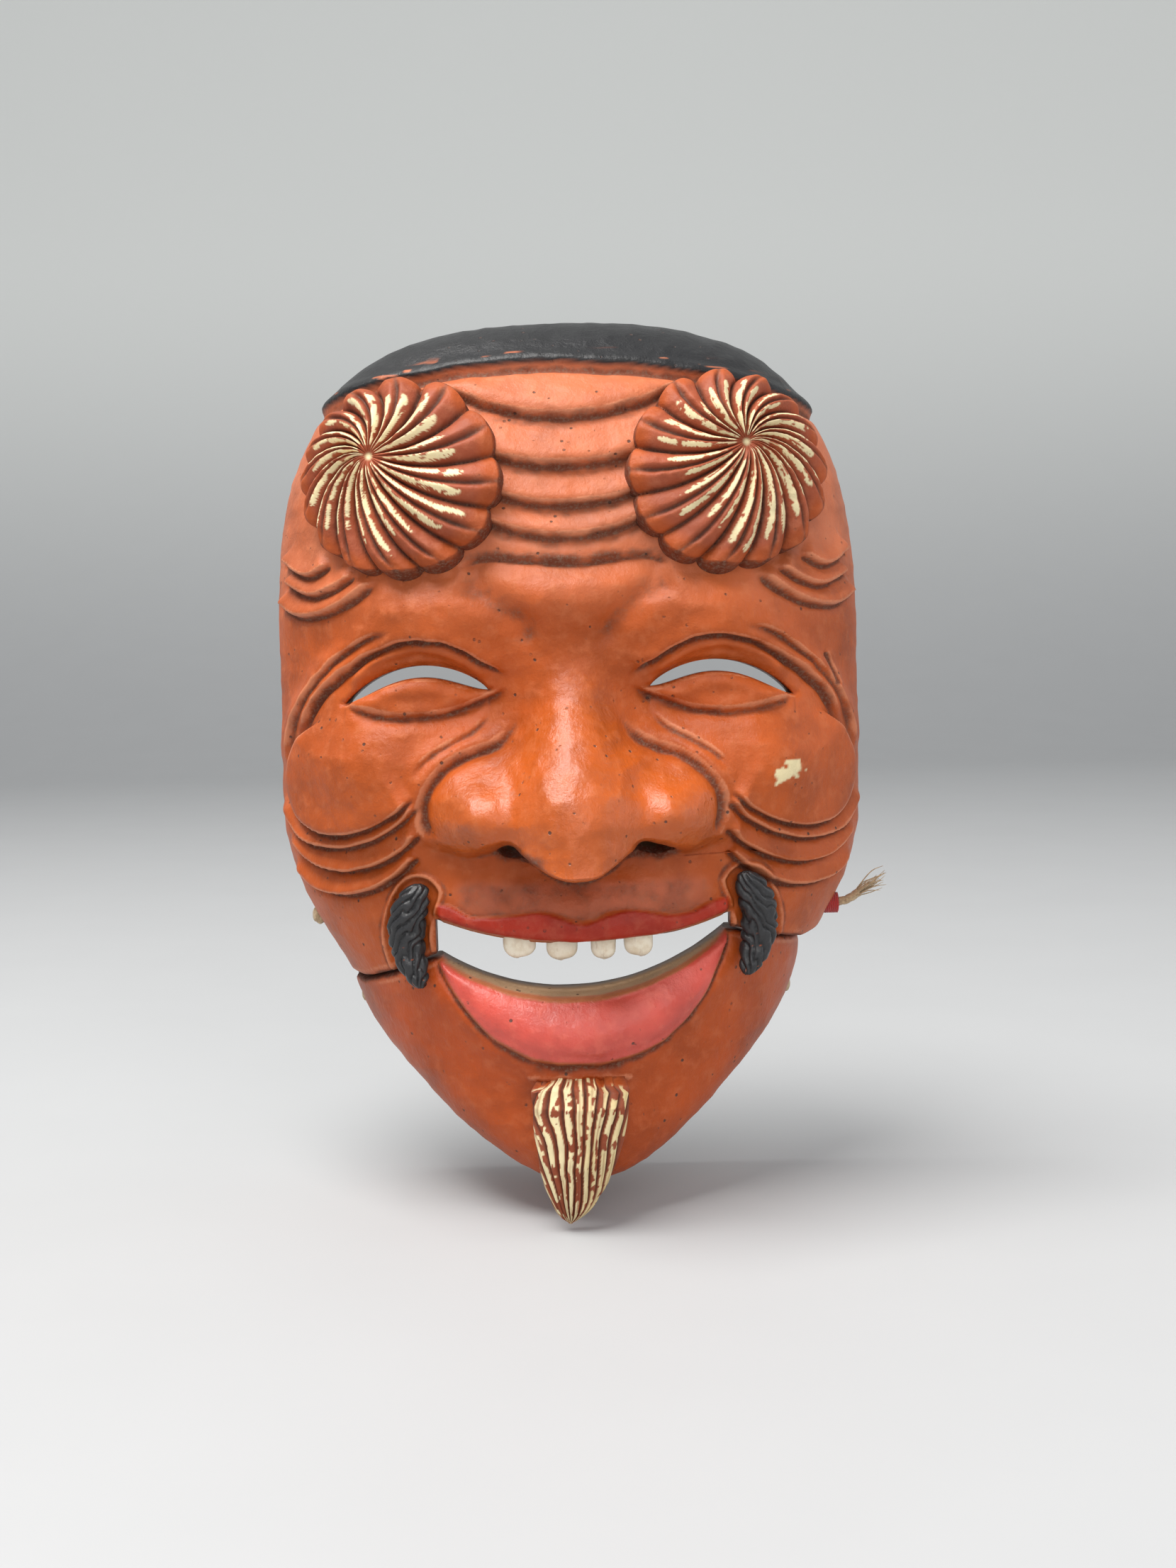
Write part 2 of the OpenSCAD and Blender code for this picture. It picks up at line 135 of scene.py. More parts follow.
class Relief:
    """Height, grime and wear over a skin, carved by strokes along paths. The grime also holds painted shade,
    and the wear painted highlight.
    """

    def __init__(self, x, z):
        self.x, self.z = x, z
        self.height = np.zeros(x.shape)
        self.grime_and_shade = np.zeros(x.shape)
        self.wear_and_highlight = np.zeros(x.shape)

    def darken(self, amount):
        self.grime_and_shade = np.maximum(self.grime_and_shade, amount)

    def lighten(self, amount):
        self.wear_and_highlight = np.maximum(self.wear_and_highlight, amount)

    def stroke(self, path, reach, side, ends, waver, seed):
        """The points near a path, their wavering distance from it and the stroke's strength there."""
        near, s, t = along([(side * px, pz) for px, pz in path], self.x, self.z, reach)
        s = s + waver * (noise(self.x[near], self.z[near], 3.5, seed) - 0.5)
        start, stop = np.maximum(ends, 1e-3)
        return near, s, smooth(t / start) * smooth((1 - t) / stop)

    def fold(self, path, rise, reach, cut=0.9, width=1.2, soft=0.45, side=1, ends=(0.08, 0.08), dirt_and_shade=1.0,
             waver=0.8, seed=3):
        """A fold of skin whose left side stands over a groove darkened by dirt and painted shade, its crest
        lightened by wear and painted highlight. On side -1 the path is mirrored.
        """
        near, s, fade = self.stroke(path, max(3 * reach, 4), side, ends, side * waver, seed)
        s = side * s
        step = smooth((s + soft) / (2 * soft)) * bell(np.maximum(s, 0) / reach)
        groove = bell((s + soft) / width)
        self.height[near] += (rise * step - cut * groove) * fade
        self.grime_and_shade[near] = np.maximum(self.grime_and_shade[near], dirt_and_shade * bell((s + 1.1 * soft) / (width * 0.9)) * fade)
        self.wear_and_highlight[near] = np.maximum(self.wear_and_highlight[near], bell((s - soft) / 0.6) * fade * min(1, rise / 0.6))

    def ridge(self, path, height, width, side=1, ends=(0.08, 0.08), waver=0.4, seed=5):
        near, s, fade = self.stroke(path, 4 * width, side, ends, waver, seed)
        self.height[near] += height * bell(s / width) * fade

    def groove(self, path, depth, width, side=1, ends=(0.1, 0.1), dirt_and_shade=1.0, waver=0.5, seed=7):
        near, s, fade = self.stroke(path, 4 * width, side, ends, waver, seed)
        self.height[near] -= depth * bell(s / width) * fade
        self.grime_and_shade[near] = np.maximum(self.grime_and_shade[near], dirt_and_shade * bell(s / width) * fade)


# ---- Helpers for meshes ------------------------------------------------------

def xyz(x, y, z):
    """Points from grids of coordinates."""
    return np.stack([x, y, z], axis=-1).reshape(-1, 3)


def grid_quads(rows, cols, first=0, closed=False, flip=False):
    """Quads of a grid of points, rows by cols; a closed grid joins its last column to its first."""
    j, i = np.meshgrid(np.arange(rows - 1), np.arange(cols if closed else cols - 1), indexing="ij")
    k = (i + 1) % cols
    quads = np.stack([j * cols + i, j * cols + k, (j + 1) * cols + k, (j + 1) * cols + i], axis=-1)
    quads = quads.reshape(-1, 4) + first
    return quads[:, ::-1] if flip else quads


def tube_faces(rows, cols, flip=False):
    """Faces of a tube of rings, closed at both ends by the two points that follow the rings."""
    faces = grid_quads(rows, cols, closed=True).tolist()
    n = rows * cols
    for k in range(cols):
        q = (k + 1) % cols
        faces += [[q, k, n], [n - cols + k, n - cols + q, n + 1]]
    return [face[::-1] for face in faces] if flip else faces


def make_mesh(name, points, faces):
    """A mesh object from points in millimetres."""
    mesh = bpy.data.meshes.new(name)
    mesh.from_pydata((np.asarray(points, float) * MM).tolist(), [], [list(map(int, f)) for f in faces])
    mesh.validate()
    mesh.update()
    mesh.polygons.foreach_set("use_smooth", [True] * len(mesh.polygons))
    obj = bpy.data.objects.new(name, mesh)
    bpy.context.scene.collection.objects.link(obj)
    return obj


def colour_mesh(obj, paint, marks):
    """Stores the paint's colour, and grime, wear and gloss, on a mesh's points. The grime also holds painted
    shade, and the wear painted highlight.
    """
    for name, values in (("paint", paint), ("marks", marks)):
        layer = obj.data.color_attributes.new(name, "FLOAT_COLOR", "POINT")
        rgba = np.ones((len(obj.data.vertices), 4))
        rgba[:, :3] = values
        layer.data.foreach_set("color", rgba.ravel())


def cut_away(obj, cutters):
    """Takes the cutters out of an object and deletes them."""
    bpy.context.view_layer.objects.active = obj
    for cutter in cutters:
        tool = obj.modifiers.new("cut", "BOOLEAN")
        tool.operation = "DIFFERENCE"
        tool.solver = "MANIFOLD"
        tool.object = cutter
        bpy.ops.object.modifier_apply(modifier=tool.name)
        bpy.data.objects.remove(cutter, do_unlink=True)


def prism(name, outline, y_from, y_to):
    """A cutter: an outline in x and z, drawn through the front of the shell."""
    n = len(outline)
    following = list(outline[1:]) + [outline[0]]
    area = sum(ax * bz - bx * az for (ax, az), (bx, bz) in zip(outline, following))
    ring = list(outline) if area > 0 else list(outline)[::-1]
    points = [(x, y, z) for y in (y_from, y_to) for x, z in ring]
    sides = [[k, (k + 1) % n, n + (k + 1) % n, n + k][::-1] for k in range(n)]
    return make_mesh(name, points, [list(range(n)), list(range(n, 2 * n))[::-1]] + sides)


def rod(name, start, end, radius, sides=40):
    """A cutter: a round rod between two points."""
    axis = Vector(end) - Vector(start)
    turn = axis.to_track_quat("Z", "Y")
    rings = []
    for k in (0, 1):
        for s in range(sides):
            a = 2 * math.pi * s / sides
            p = turn @ Vector((radius * math.cos(a), radius * math.sin(a), k * axis.length))
            rings.append(Vector(start) + p)
    faces = [[s, (s + 1) % sides, sides + (s + 1) % sides, sides + s] for s in range(sides)]
    faces += [list(range(sides))[::-1], list(range(sides, 2 * sides))]
    return make_mesh(name, [tuple(p) for p in rings], faces)


def side_hole(name, side, x_from, x_to, z, radius):
    """A cutter: a rod along X through one side of the mask, at the height of a cord."""
    return rod(name, (side * x_from, HOLE_Y, z), (side * x_to, HOLE_Y, z), radius)


def pod(name, centre, radii, tilt=0.0, lean=0.0):
    """A cutter: an ellipsoid, tilted about X and leaning about Y, in radians."""
    rows, cols = 13, 32
    b = np.linspace(-math.pi / 2, math.pi / 2, rows + 2)[1:-1, None]
    a = np.linspace(0, 2 * math.pi, cols, endpoint=False)[None, :]
    p = xyz(np.cos(b) * np.cos(a) * radii[0], np.cos(b) * np.sin(a) * radii[1], np.sin(b) * radii[2] + 0 * a)
    p = np.vstack([p, [[0, 0, -radii[2]], [0, 0, radii[2]]]])
    ct, st, cl, sl = math.cos(tilt), math.sin(tilt), math.cos(lean), math.sin(lean)
    tilted = p @ np.array([[1, 0, 0], [0, ct, -st], [0, st, ct]]).T
    leaning = tilted @ np.array([[cl, 0, sl], [0, 1, 0], [-sl, 0, cl]]).T
    return make_mesh(name, leaning + np.array(centre), tube_faces(rows, cols))


def carry_colours(obj, points, paint, marks):
    """Colours a cut mesh from the points of its outer and inner skins before it was cut."""
    points, paint, marks = np.vstack(points), np.vstack(paint), np.vstack(marks)
    tree = KDTree(len(points))
    for k, p in enumerate(points * MM):
        tree.insert(p, k)
    tree.balance()
    nearest = np.array([tree.find(v.co)[1] for v in obj.data.vertices])
    colour_mesh(obj, paint[nearest], marks[nearest])


def hollows(points, rows, cols, reach):
    """How deep each point of a grid lies below its surroundings, in millimetres."""
    p = points.reshape(rows, cols, 3)
    du, dv = np.gradient(p, axis=1), np.gradient(p, axis=0)
    normal = np.cross(du, dv)
    normal /= np.maximum(np.linalg.norm(normal, axis=2, keepdims=True), 1e-9)
    blurred = p.copy()
    for _ in range(reach):
        padded = np.pad(blurred, ((1, 1), (1, 1), (0, 0)), mode="edge")
        blurred = (padded[:-2, 1:-1] + padded[2:, 1:-1] + padded[1:-1, :-2] + padded[1:-1, 2:]
                   + 2 * padded[1:-1, 1:-1]) / 6
    outward = np.where(normal[..., 1:2] > 0, -normal, normal)
    return ((blurred - p) * outward).sum(axis=2).ravel()


def normals_of(points, rows, cols):
    """Outward normals of a grid of points that faces -Y."""
    p = points.reshape(rows, cols, 3)
    n = np.cross(np.gradient(p, axis=1), np.gradient(p, axis=0))
    n /= np.maximum(np.linalg.norm(n, axis=2, keepdims=True), 1e-9)
    middle = n[rows // 2, cols // 2, 1]
    return (-n if middle > 0 else n).reshape(-1, 3)


# ---- The paints --------------------------------------------------------------

VERMILION = np.array([0.46, 0.085, 0.013])
NOSE_ORANGE = np.array([0.47, 0.088, 0.008])
JAW_RED = np.array([0.42, 0.062, 0.008])
PAINTED_SHEEN = np.array([0.72, 0.27, 0.15])
LIP_SKIN = np.array([0.46, 0.120, 0.058])
DARK_LIP = np.array([0.36, 0.022, 0.007])
LIP_RIM = np.array([0.42, 0.130, 0.050])
PINK_LIP = np.array([0.62, 0.080, 0.055])
BARE_WOOD = np.array([0.42, 0.270, 0.150])
BLACK = np.array([0.011, 0.011, 0.012])
CREAM = np.array([0.80, 0.68, 0.40])
GOLDEN = np.array([0.60, 0.43, 0.17])
TUFT_BROWN = np.array([0.34, 0.075, 0.030])
GROOVE_DARK = np.array([0.045, 0.022, 0.016])
BACK_WOOD = np.array([0.115, 0.055, 0.026])


def lay(colour, over, amount):
    """Lays a colour over painted points."""
    t = np.clip(np.asarray(amount), 0, 1)[..., None]
    return over * (1 - t) + colour * t


# ---- The upper mask's skin, on the formulas of the CAD -----------------------

HALF_W, CROWN_Z, DEPTH, WALL = 72.0, 93.0, 50.0, 7.5
MOUTH_X, MOUTH_HALF, LIP_Z, MOUTH_GAP, GRIN, TILT, SEAM_GAP = 2.0, 34.0, -52.0, 11.0, 10.0, 0.07, 0.8
WIDE_Z, TAPER_Z, TAPER, TAPER_END, JAW_LINE_Z = 10.0, -27.0, 25.0, -75.0, -57.0
NOSE_X, TIP_RISE, TIP_LOW_Z, WING_RISE = 1, 24, -38, 13
NOSTRIL_MID, NOSTRIL_OUT = 3, 15
HOLE_Y, CORD_HOLE_R, TIE_HOLE_R, TIE_SEAT_R = -9.0, 2.0, 1.5, 3.0
TIE_TOP, TIE_LOW, TIE_INSET = -50.0, -70.0, 8


def section(s):
    return np.maximum(0, 1 - np.abs(s) ** 2.4) ** (1 / 2.2)


def mask_half(z, t=0.0):
    above = np.maximum(0, 1 - np.maximum(0, (z - WIDE_Z) / (CROWN_Z - t - WIDE_Z)) ** 3) ** (1 / 3)
    below = 1 - TAPER / HALF_W * (np.maximum(0, TAPER_Z - z) / (TAPER_Z - TAPER_END)) ** 1.6
    return np.where(z > WIDE_Z, above, below) * (HALF_W - t)


def mask_depth(z, t=0.0):
    above = np.maximum(0, 1 - np.maximum(0, (z - WIDE_Z) / (CROWN_Z - t - WIDE_Z)) ** 3.2) ** 0.42
    return DEPTH * np.where(z > WIDE_Z, above, 1.0) - t * 1.1 * section(np.minimum(1, (z - WIDE_Z) / 90))


def nose(x, z):
    """The ball of the nose and its wings, cut off below along two arches."""
    d = np.abs(x - NOSE_X)
    half = 8 + 8 * smooth((5 - z) / 26)
    tip = TIP_RISE * smooth((18 - z) / 44) ** 1.1 * np.exp(-(d / half) ** 2.6)
    low = TIP_LOW_Z + 7.5 * smooth((d - 1) / 16) ** 1.25 - 2.3 * bell((d - 25) / 6)
    return (tip + WING_RISE * bump(d, z, 23, -23, 9, 9.5)) * smooth((z - low) / 3.4)


def mask_forms(x, z):
    a = np.abs(x)
    cheeks, brow_middle = 8 * bump(a, z, 48, -12, 17, 15), 4 * bump(x, z, 0, 27, 20, 9)
    brows, eye_corners = 4.5 * bump(a, z, 35, 23, 16, 7), 4.5 * bump(a, z, 20, 3, 11, 10)
    return nose(x, z) + cheeks + brow_middle + brows - eye_corners + 5 * bump(x, z, MOUTH_X, -46, 30, 9)


def mask_y(x, z):
    half = np.maximum(mask_half(z), 1)
    s = np.clip(np.abs(x) / half, 0, 1)
    return -mask_depth(z) * section(s) - mask_forms(x, z) * (1 - s ** 8)


def mask_normal(x, z, e=0.5):
    n = np.stack([(mask_y(x + e, z) - mask_y(x - e, z)) / (2 * e), -np.ones_like(x),
                  (mask_y(x, z + e) - mask_y(x, z - e)) / (2 * e)], axis=-1)
    return n / np.linalg.norm(n, axis=-1, keepdims=True)


def seam(x):
    out = np.clip((np.abs(x - MOUTH_X) - MOUTH_HALF) / 19, 0, 1)
    return LIP_Z - MOUTH_GAP + GRIN - 7 * out + TILT * x


def upper_lip(x):
    return LIP_Z + 5.5 * np.abs((x - MOUTH_X) / MOUTH_HALF) ** 2.2


def lower_lip(x):
    return LIP_Z - MOUTH_GAP + GRIN * ((x - MOUTH_X) / MOUTH_HALF) ** 2 + TILT * x


def crown_line(x):
    return 79.8 - 0.0022 * x ** 2 - 0.02 * x


def lip_line(x):
    """Where the red of the upper lip begins: two low peaks beside a dip in the middle."""
    d = np.abs(x - 1.5)
    return -46.8 + 2.3 * (1 - bell(d / 5.5)) - 1.3 * bell((d - 21) / 7) + 1.6 * smooth((d - 24) / 8)


# ---- Features of the face ----------------------------------------------------

EYE_X, EYE_HALF = 35.0, 16.6


def eye_edges(x):
    """Lower and upper edges of the eye slits, and how far along its eye x lies, from -1 to 1."""
    u = (np.abs(x) - EYE_X) / EYE_HALF
    arch = np.maximum(0, 1 - u * u)
    base = 4.4 - 1.3 * u
    return base + 4.3 * arch ** 1.7, base + 7.0 * arch ** 0.85, u


# Each forehead fold: height at the midline, bow, half length, rise and reach upwards.
FOREHEAD_FOLDS = [(67.0, 0.010, 30, 2.0, 7.0), (55.8, 0.009, 22, 2.2, 5.5), (46.8, 0.011, 20, 2.0, 3.8),
                  (39.6, 0.013, 22, 2.0, 3.4)]
GLABELLA_EDGE = [(-24.5, 33.0), (-19, 35.6), (-10, 35.0), (0, 34.2), (10, 34.8), (19, 35.4), (24.5, 33.0)]
GLABELLA_SIDE = [(6.5, 13.5), (8.5, 17.5), (12.5, 22.0), (18.0, 26.8), (25.0, 31.0)]
LID_FOLD = [(13, 8.0), (19, 12.0), (26, 15.9), (33.6, 17.4), (41.6, 15.7), (49.5, 11.4), (58.6, 4.3),
            (65, -6.0)]
OUTER_FOLD = [(38, 19.6), (45, 18.4), (52, 14.2), (60, 6.6), (66.5, -3.5), (68.4, -13.0)]
LID_RIDGE = [(17, 8.4), (23.5, 12.6), (30, 15.2), (36.5, 15.4), (43.5, 12.4), (50.5, 6.6)]
LEAF_FOLD = [(13.0, 6.5), (17.4, 4.6), (22.5, 2.4), (29, 0.6), (36, 0.0), (44, 0.6), (51.5, 2.4)]
NOSE_CREASE = [(10.5, 2.0), (13, -2.4), (17.5, -6.6), (24, -9.0), (29.6, -12.4), (33.2, -17.4),
               (34.2, -23), (32, -29.4)]
NOSE_CREASE_2 = [(17.5, 1.0), (22, -3.6), (28, -6.8), (33.5, -10.4), (37, -15.2)]
LOBE_RIM = [(35, -17.8), (40, -21.6), (46, -24.8), (52.3, -26.8), (59, -26.6), (63.8, -23.6),
            (66.2, -18), (65.8, -11), (62.6, -4.6), (56.6, 0.4)]
CHEEK_FOLDS = [[(34.4, -19.8), (39.2, -24.2), (45.2, -27.8), (53, -30.2), (61.3, -29.8), (67, -26),
                (70.6, -19.6)],
               [(34.2, -26), (40, -31.2), (46.8, -34.6), (53.8, -36.0), (62, -34.2), (69, -28.4)],
               [(35.2, -31.6), (40.4, -36.6), (46.6, -40), (53.8, -41.6), (62, -40.2), (68, -34.6)]]
TEMPLE_FOLDS = [[(43, 31.0), (48.2, 27.2), (55, 24.2), (63, 23.6), (69.4, 27.6)],
                [(47.5, 32.6), (53, 29.4), (59.6, 28.2), (66.8, 31.8)],
                [(54, 35.4), (60, 32.8), (67.4, 37.0)]]
TUFTS = {-1: (42.0, 57.6), 1: (39.4, 58.8)}
TUFT_X, TUFT_Z, TUFT_R = 36.0, 53.0, 23.0
MOUSTACHES = {-1: (35.5, -40.0), 1: (39.5, -39.0)}
MOUSTACHE_LEN = 22.0


def carve_mask(x, z):
    """The carving of the upper mask over its plain skin, and the paint on it."""
    r = Relief(x, z)
    a = np.abs(x)
    for k, (z0, bow, half, rise, reach) in enumerate(FOREHEAD_FOLDS):
        path = [(f * half, z0 + bow * (f * half) ** 2) for f in (-1, -0.6, -0.2, 0.2, 0.6, 1)]
        r.fold(path, rise, reach, cut=0.7, width=1.6, soft=0.4, ends=(0.02, 0.02), waver=0.35, dirt_and_shade=0.5,
               seed=20 + k)
        shelf = [(px, pz - 2.0) for px, pz in path]
        r.groove(shelf, 0.3, 1.6, dirt_and_shade=0.35, ends=(0.02, 0.02), seed=30 + k)
    # The forehead's folds die away under the crown.
    r.height *= smooth((crown_line(x) - 1.2 - z) / 4)
    r.fold(GLABELLA_EDGE[::-1], -1.8, 5.0, cut=0.4, width=1.5, ends=(0.08, 0.08), dirt_and_shade=0.6, waver=0.4)
    for side in (-1, 1):
        r.groove(GLABELLA_SIDE, 2.2, 3.4, side=side, ends=(0.25, 0.15), dirt_and_shade=0.35)
        r.fold(LID_FOLD, 1.9, 3.4, cut=1.1, width=1.0, side=side, ends=(0.12, 0.14), dirt_and_shade=0.7, waver=0.4)
        r.fold(OUTER_FOLD, 1.5, 3.2, cut=0.5, width=1.2, side=side, ends=(0.2, 0.15), dirt_and_shade=0.4, waver=0.5)
        r.ridge(LID_RIDGE, 1.6, 1.6, side=side, ends=(0.12, 0.12))
        r.fold(LEAF_FOLD, 1.5, 3.0, cut=1.2, width=1.9, side=side, ends=(0.15, 0.1), dirt_and_shade=0.35, waver=0.3)
        r.fold(NOSE_CREASE, 1.5, 3.6, cut=1.3, width=1.5, side=side, ends=(0.3, 0.12), dirt_and_shade=0.4, waver=0.4)
        r.fold(NOSE_CREASE_2, 0.7, 2.8, cut=0.3, width=1.2, side=side, ends=(0.2, 0.3), dirt_and_shade=0.35, waver=0.3)
        r.fold(LOBE_RIM, 2.7, 6.5, cut=0.9, width=1.2, side=side, ends=(0.06, 0.15), dirt_and_shade=0.6, waver=0.2)
        r.height += 1.5 * bump(side * x, z, 51, -13, 14, 8)
        for k, path in enumerate(CHEEK_FOLDS):
            r.fold(path, 2.3, 2.7, cut=0.9, width=1.0, side=side, ends=(0.05, 0.1), dirt_and_shade=0.55, waver=0.2,
                   seed=40 + k)
        for k, path in enumerate(TEMPLE_FOLDS):
            r.fold(path, 2.1, 3.4, cut=0.6, width=1.0, side=side, ends=(0.12, 0.05), dirt_and_shade=0.45, waver=0.25,
                   seed=50 + k)
        # A raised socket round each moustache, which hides the middle of its rim.
        mx, mz = MOUSTACHES[side]
        u = np.clip((mz - z) / MOUSTACHE_LEN, 0, 1)
        off = np.hypot(side * x - mx - 3 * np.sin(np.pi * u), np.minimum(0, mz - 2 - z))
        rim = bell((off - 5.7) / 0.6)
        r.height += 0.7 * rim - 0.8 * smooth((5.3 - off) / 0.8)
        r.lighten(0.8 * rim)
        r.darken(0.45 * bell((off - 6.7) / 0.6))
    r.fold([(60.5, 12.8), (61.8, 9.4), (62.8, 4.4)], 0.5, 2.0, cut=0.8, width=0.8, dirt_and_shade=1.0)
    # Eyes: the lids round over the slit, and the leaf of the lower lid bulges.
    low, high, u = eye_edges(x)
    in_eye = smooth((1.12 - np.abs(u)) / 0.12)
    over, under = z - high, low - z
    r.height -= 1.5 * in_eye * np.where(over > 0, np.clip(1 - over / 1.5, 0, 1) ** 2,
                                        np.where(under > 0, np.clip(1 - under / 0.9, 0, 1) ** 2, 1.0))
    r.height += 1.7 * in_eye * bell((z - low + 2.6) / 2.6) * np.maximum(0, 1 - u * u) ** 0.5
    r.lighten(0.9 * in_eye * bell((under - 0.5) / 0.5) * (under > 0))
    # Below the nose: ripples of the upper lip's skin, the lip's edge and the rounded mouth edge.
    lip_zone = smooth((-36.5 - z) / 3) * smooth((31 - np.abs(x - MOUTH_X)) / 5)
    skin_zone = lip_zone * smooth((z - lip_line(x)) / 1.0)
    r.height += skin_zone * 0.7 * (np.sin(x / 1.9 + 1.6 * noise(x, z, 9, 61)) * noise(x, z, 6, 62))
    r.height -= 0.8 * skin_zone * bell((x - 1.0) / 2.4)
    s = np.abs((x - MOUTH_X) / MOUTH_HALF)
    wave = 0.5 * (noise(x, z, 4, 63) - 0.5)
    in_lip = smooth((lip_line(x) + wave - z) / 0.5 + 0.5) * smooth((1.0 - s) / 0.06)
    r.height += in_lip * (0.9 + 0.8 * bell((z - 0.5 * (lip_line(x) + upper_lip(x))) / 2.4))
    edge = z - upper_lip(x)
    r.height -= 2.4 * smooth((1.05 - s) / 0.05) * np.clip(1 - edge / 2.2, 0, 1) ** 2
    r.darken(skin_zone * (0.2 + 0.22 * noise(x, z, 5.5, 64)))
    # Painted shade darkens the corner under each nostril.
    d = np.abs(np.abs(x - NOSTRIL_MID) - NOSTRIL_OUT)
    r.darken(bell(d / 6.5) * bell((z + 31.5) / 2.0))
    # Tool cuts: broad on the nose and brows, finer elsewhere.
    on_nose = smooth(nose(x, z) / 8)
    r.height += 0.6 * on_nose * gouges(x, z * 0.9, 5.4, 70)
    r.height += 0.34 * (1 - on_nose) * gouges(x * 0.8, z, 4.8, 72)
    r.height += 0.5 * (noise(x, z, 11, 74) - 0.5) + 0.2 * (noise(x, z, 2.6, 75) - 0.5)
    # The nose wings part from the ball of the tip along a soft valley.
    r.groove([(-11, -12), (-13.4, -18), (-14, -25), (-12.5, -31)], 0.9, 2.6, dirt_and_shade=0.15, ends=(0.3, 0.1))
    r.groove([(13, -12), (15.4, -18), (16, -25), (14.5, -31)], 0.9, 2.6, dirt_and_shade=0.15, ends=(0.3, 0.1))
    # The crown's black cap stands over a carved groove, darkened as a painted shadow line.
    rise = z - crown_line(x) - 0.5 * (noise(x, 0 * z, 8, 76) - 0.5)
    r.height += 1.1 * smooth((rise + 0.4) / 0.8) * (1 + 0.5 * bell((rise - 1.2) / 1.4))
    r.height -= 0.9 * bell((rise + 1.2) / 0.9)
    r.darken(0.9 * bell((rise + 1.3) / 0.9))
    # Nothing is carved under the tufts, and the carving dies away at the rim.
    under_tuft = smooth((21.5 - np.hypot(a - TUFT_X, z - TUFT_Z)) / 3)
    r.height *= 1 - under_tuft
    black = smooth(rise / 0.5 + 0.5)
    return r, (black, in_lip, on_nose, skin_zone, edge, under_tuft)


def paint_mask(x, z, r, zones, deep):
    """Colour, and grime, wear and gloss, of the upper mask's skin, with painted shade in the grime and
    painted highlight in the wear.
    """
    black, in_lip, on_nose, skin_zone, edge, under_tuft = zones
    paint = np.tile(VERMILION, (len(x), 1))
    paint = lay(VERMILION * 0.8, paint, 0.55 * noise(x, z, 16, 80))
    # The face is painted paler toward the top: a painted sheen of light from above.
    paint = lay(PAINTED_SHEEN, paint, 0.3 * smooth((z - 16) / 26) * (0.7 + 0.6 * noise(x, z, 7, 85)))
    paint = lay(NOSE_ORANGE, paint, 0.85 * on_nose)
    paint = lay(LIP_SKIN, paint, 0.75 * skin_zone)
    paint = lay(DARK_LIP, paint, in_lip)
    paint = lay(LIP_RIM, paint, in_lip * smooth((1.4 - edge) / 0.5))
    chips = smooth((noise(x * 0.22, z * 1.3, 1.3, 81) - 0.84) / 0.06)
    paint = lay(BLACK, paint, black * (1 - 0.9 * chips * bell((z - crown_line(x) - 1.2) / 1.6)))
    ragged = np.hypot((x - 49) / 3.7, (z + 14 - 0.35 * (x - 49)) / 2.1) + 0.9 * (noise(x, z, 1.2, 82) - 0.5)
    chip = smooth((1.0 - ragged) / 0.12)
    paint = lay(CREAM, paint, chip)
    # Hollows are darkened by their depth and crests lightened, as dirt and wear and also as painted shade and
    # highlight; the skin under the tufts is darkened as painted shade.
    dirt_and_shade = np.clip(r.grime_and_shade * (0.55 + 0.9 * noise(x, z, 2.2, 83)) + np.clip(deep * 1.6, 0, 1) * 0.8
                   + 0.5 * under_tuft, 0, 1)
    wear_and_highlight = np.clip(r.wear_and_highlight * (0.3 + 1.1 * noise(x, z, 2.8, 84)) + np.clip(-deep * 1.4 - 0.15, 0, 1), 0, 1)
    marks = np.stack([dirt_and_shade * (1 - black) * (1 - chip) - 0.4 * black, wear_and_highlight * (1 - black) * (1 - chip),
                      0.35 + 0.3 * on_nose + 0.1 * black + 0.05 * in_lip], axis=1)
    return paint, marks


# ---- Building the upper mask -------------------------------------------------

def even_steps(profile, low, high, count):
    """Heights from low to high, at even steps along a profile of points."""
    z = np.linspace(low, high, 4000)
    lengths = np.concatenate([[0], np.cumsum(np.hypot(*np.diff(profile(z), axis=1)))])
    return np.interp(np.linspace(0, lengths[-1], count), lengths, z)


def zip_border(outer, inner):
    """Faces that join the borders of two grids, given as (first index, rows, cols)."""
    def border(first, rows, cols):
        index = first + np.arange(rows * cols).reshape(rows, cols)
        sides = [index[0, :-1], index[:-1, -1], index[-1, :0:-1], index[:0:-1, 0]]
        places = [k + np.arange(len(s)) / len(s) for k, s in enumerate(sides)]
        return np.concatenate(sides), np.concatenate(places)
    (a, ta), (b, tb) = border(*outer), border(*inner)
    ta, tb = np.append(ta, 4.0), np.append(tb, 4.0)
    faces, i, j = [], 0, 0
    while i < len(a) or j < len(b):
        if j == len(b) or (i < len(a) and ta[i + 1] <= tb[j + 1]):
            faces.append((a[(i + 1) % len(a)], a[i], b[j % len(b)]))
            i += 1
        else:
            faces.append((b[j], b[(j + 1) % len(b)], a[i % len(a)]))
            j += 1
    return faces


def wall(name, outer, outer_size, inner, inner_size):
    """A closed wall between a fine outer skin and a coarser inner one."""
    faces = grid_quads(*outer_size).tolist()
    faces += grid_quads(*inner_size, first=len(outer), flip=True).tolist()
    faces += zip_border((0, *outer_size), (len(outer), *inner_size))
    return make_mesh(name, np.vstack([outer, inner]), faces)


def columns(cols):
    return np.radians(np.linspace(-90, 90, cols))


def lower_edge(a, half, edge, start):
    z = np.full(a.shape, start)
    for _ in range(10):
        z = edge(half(z) * np.sin(a), a)
    return z


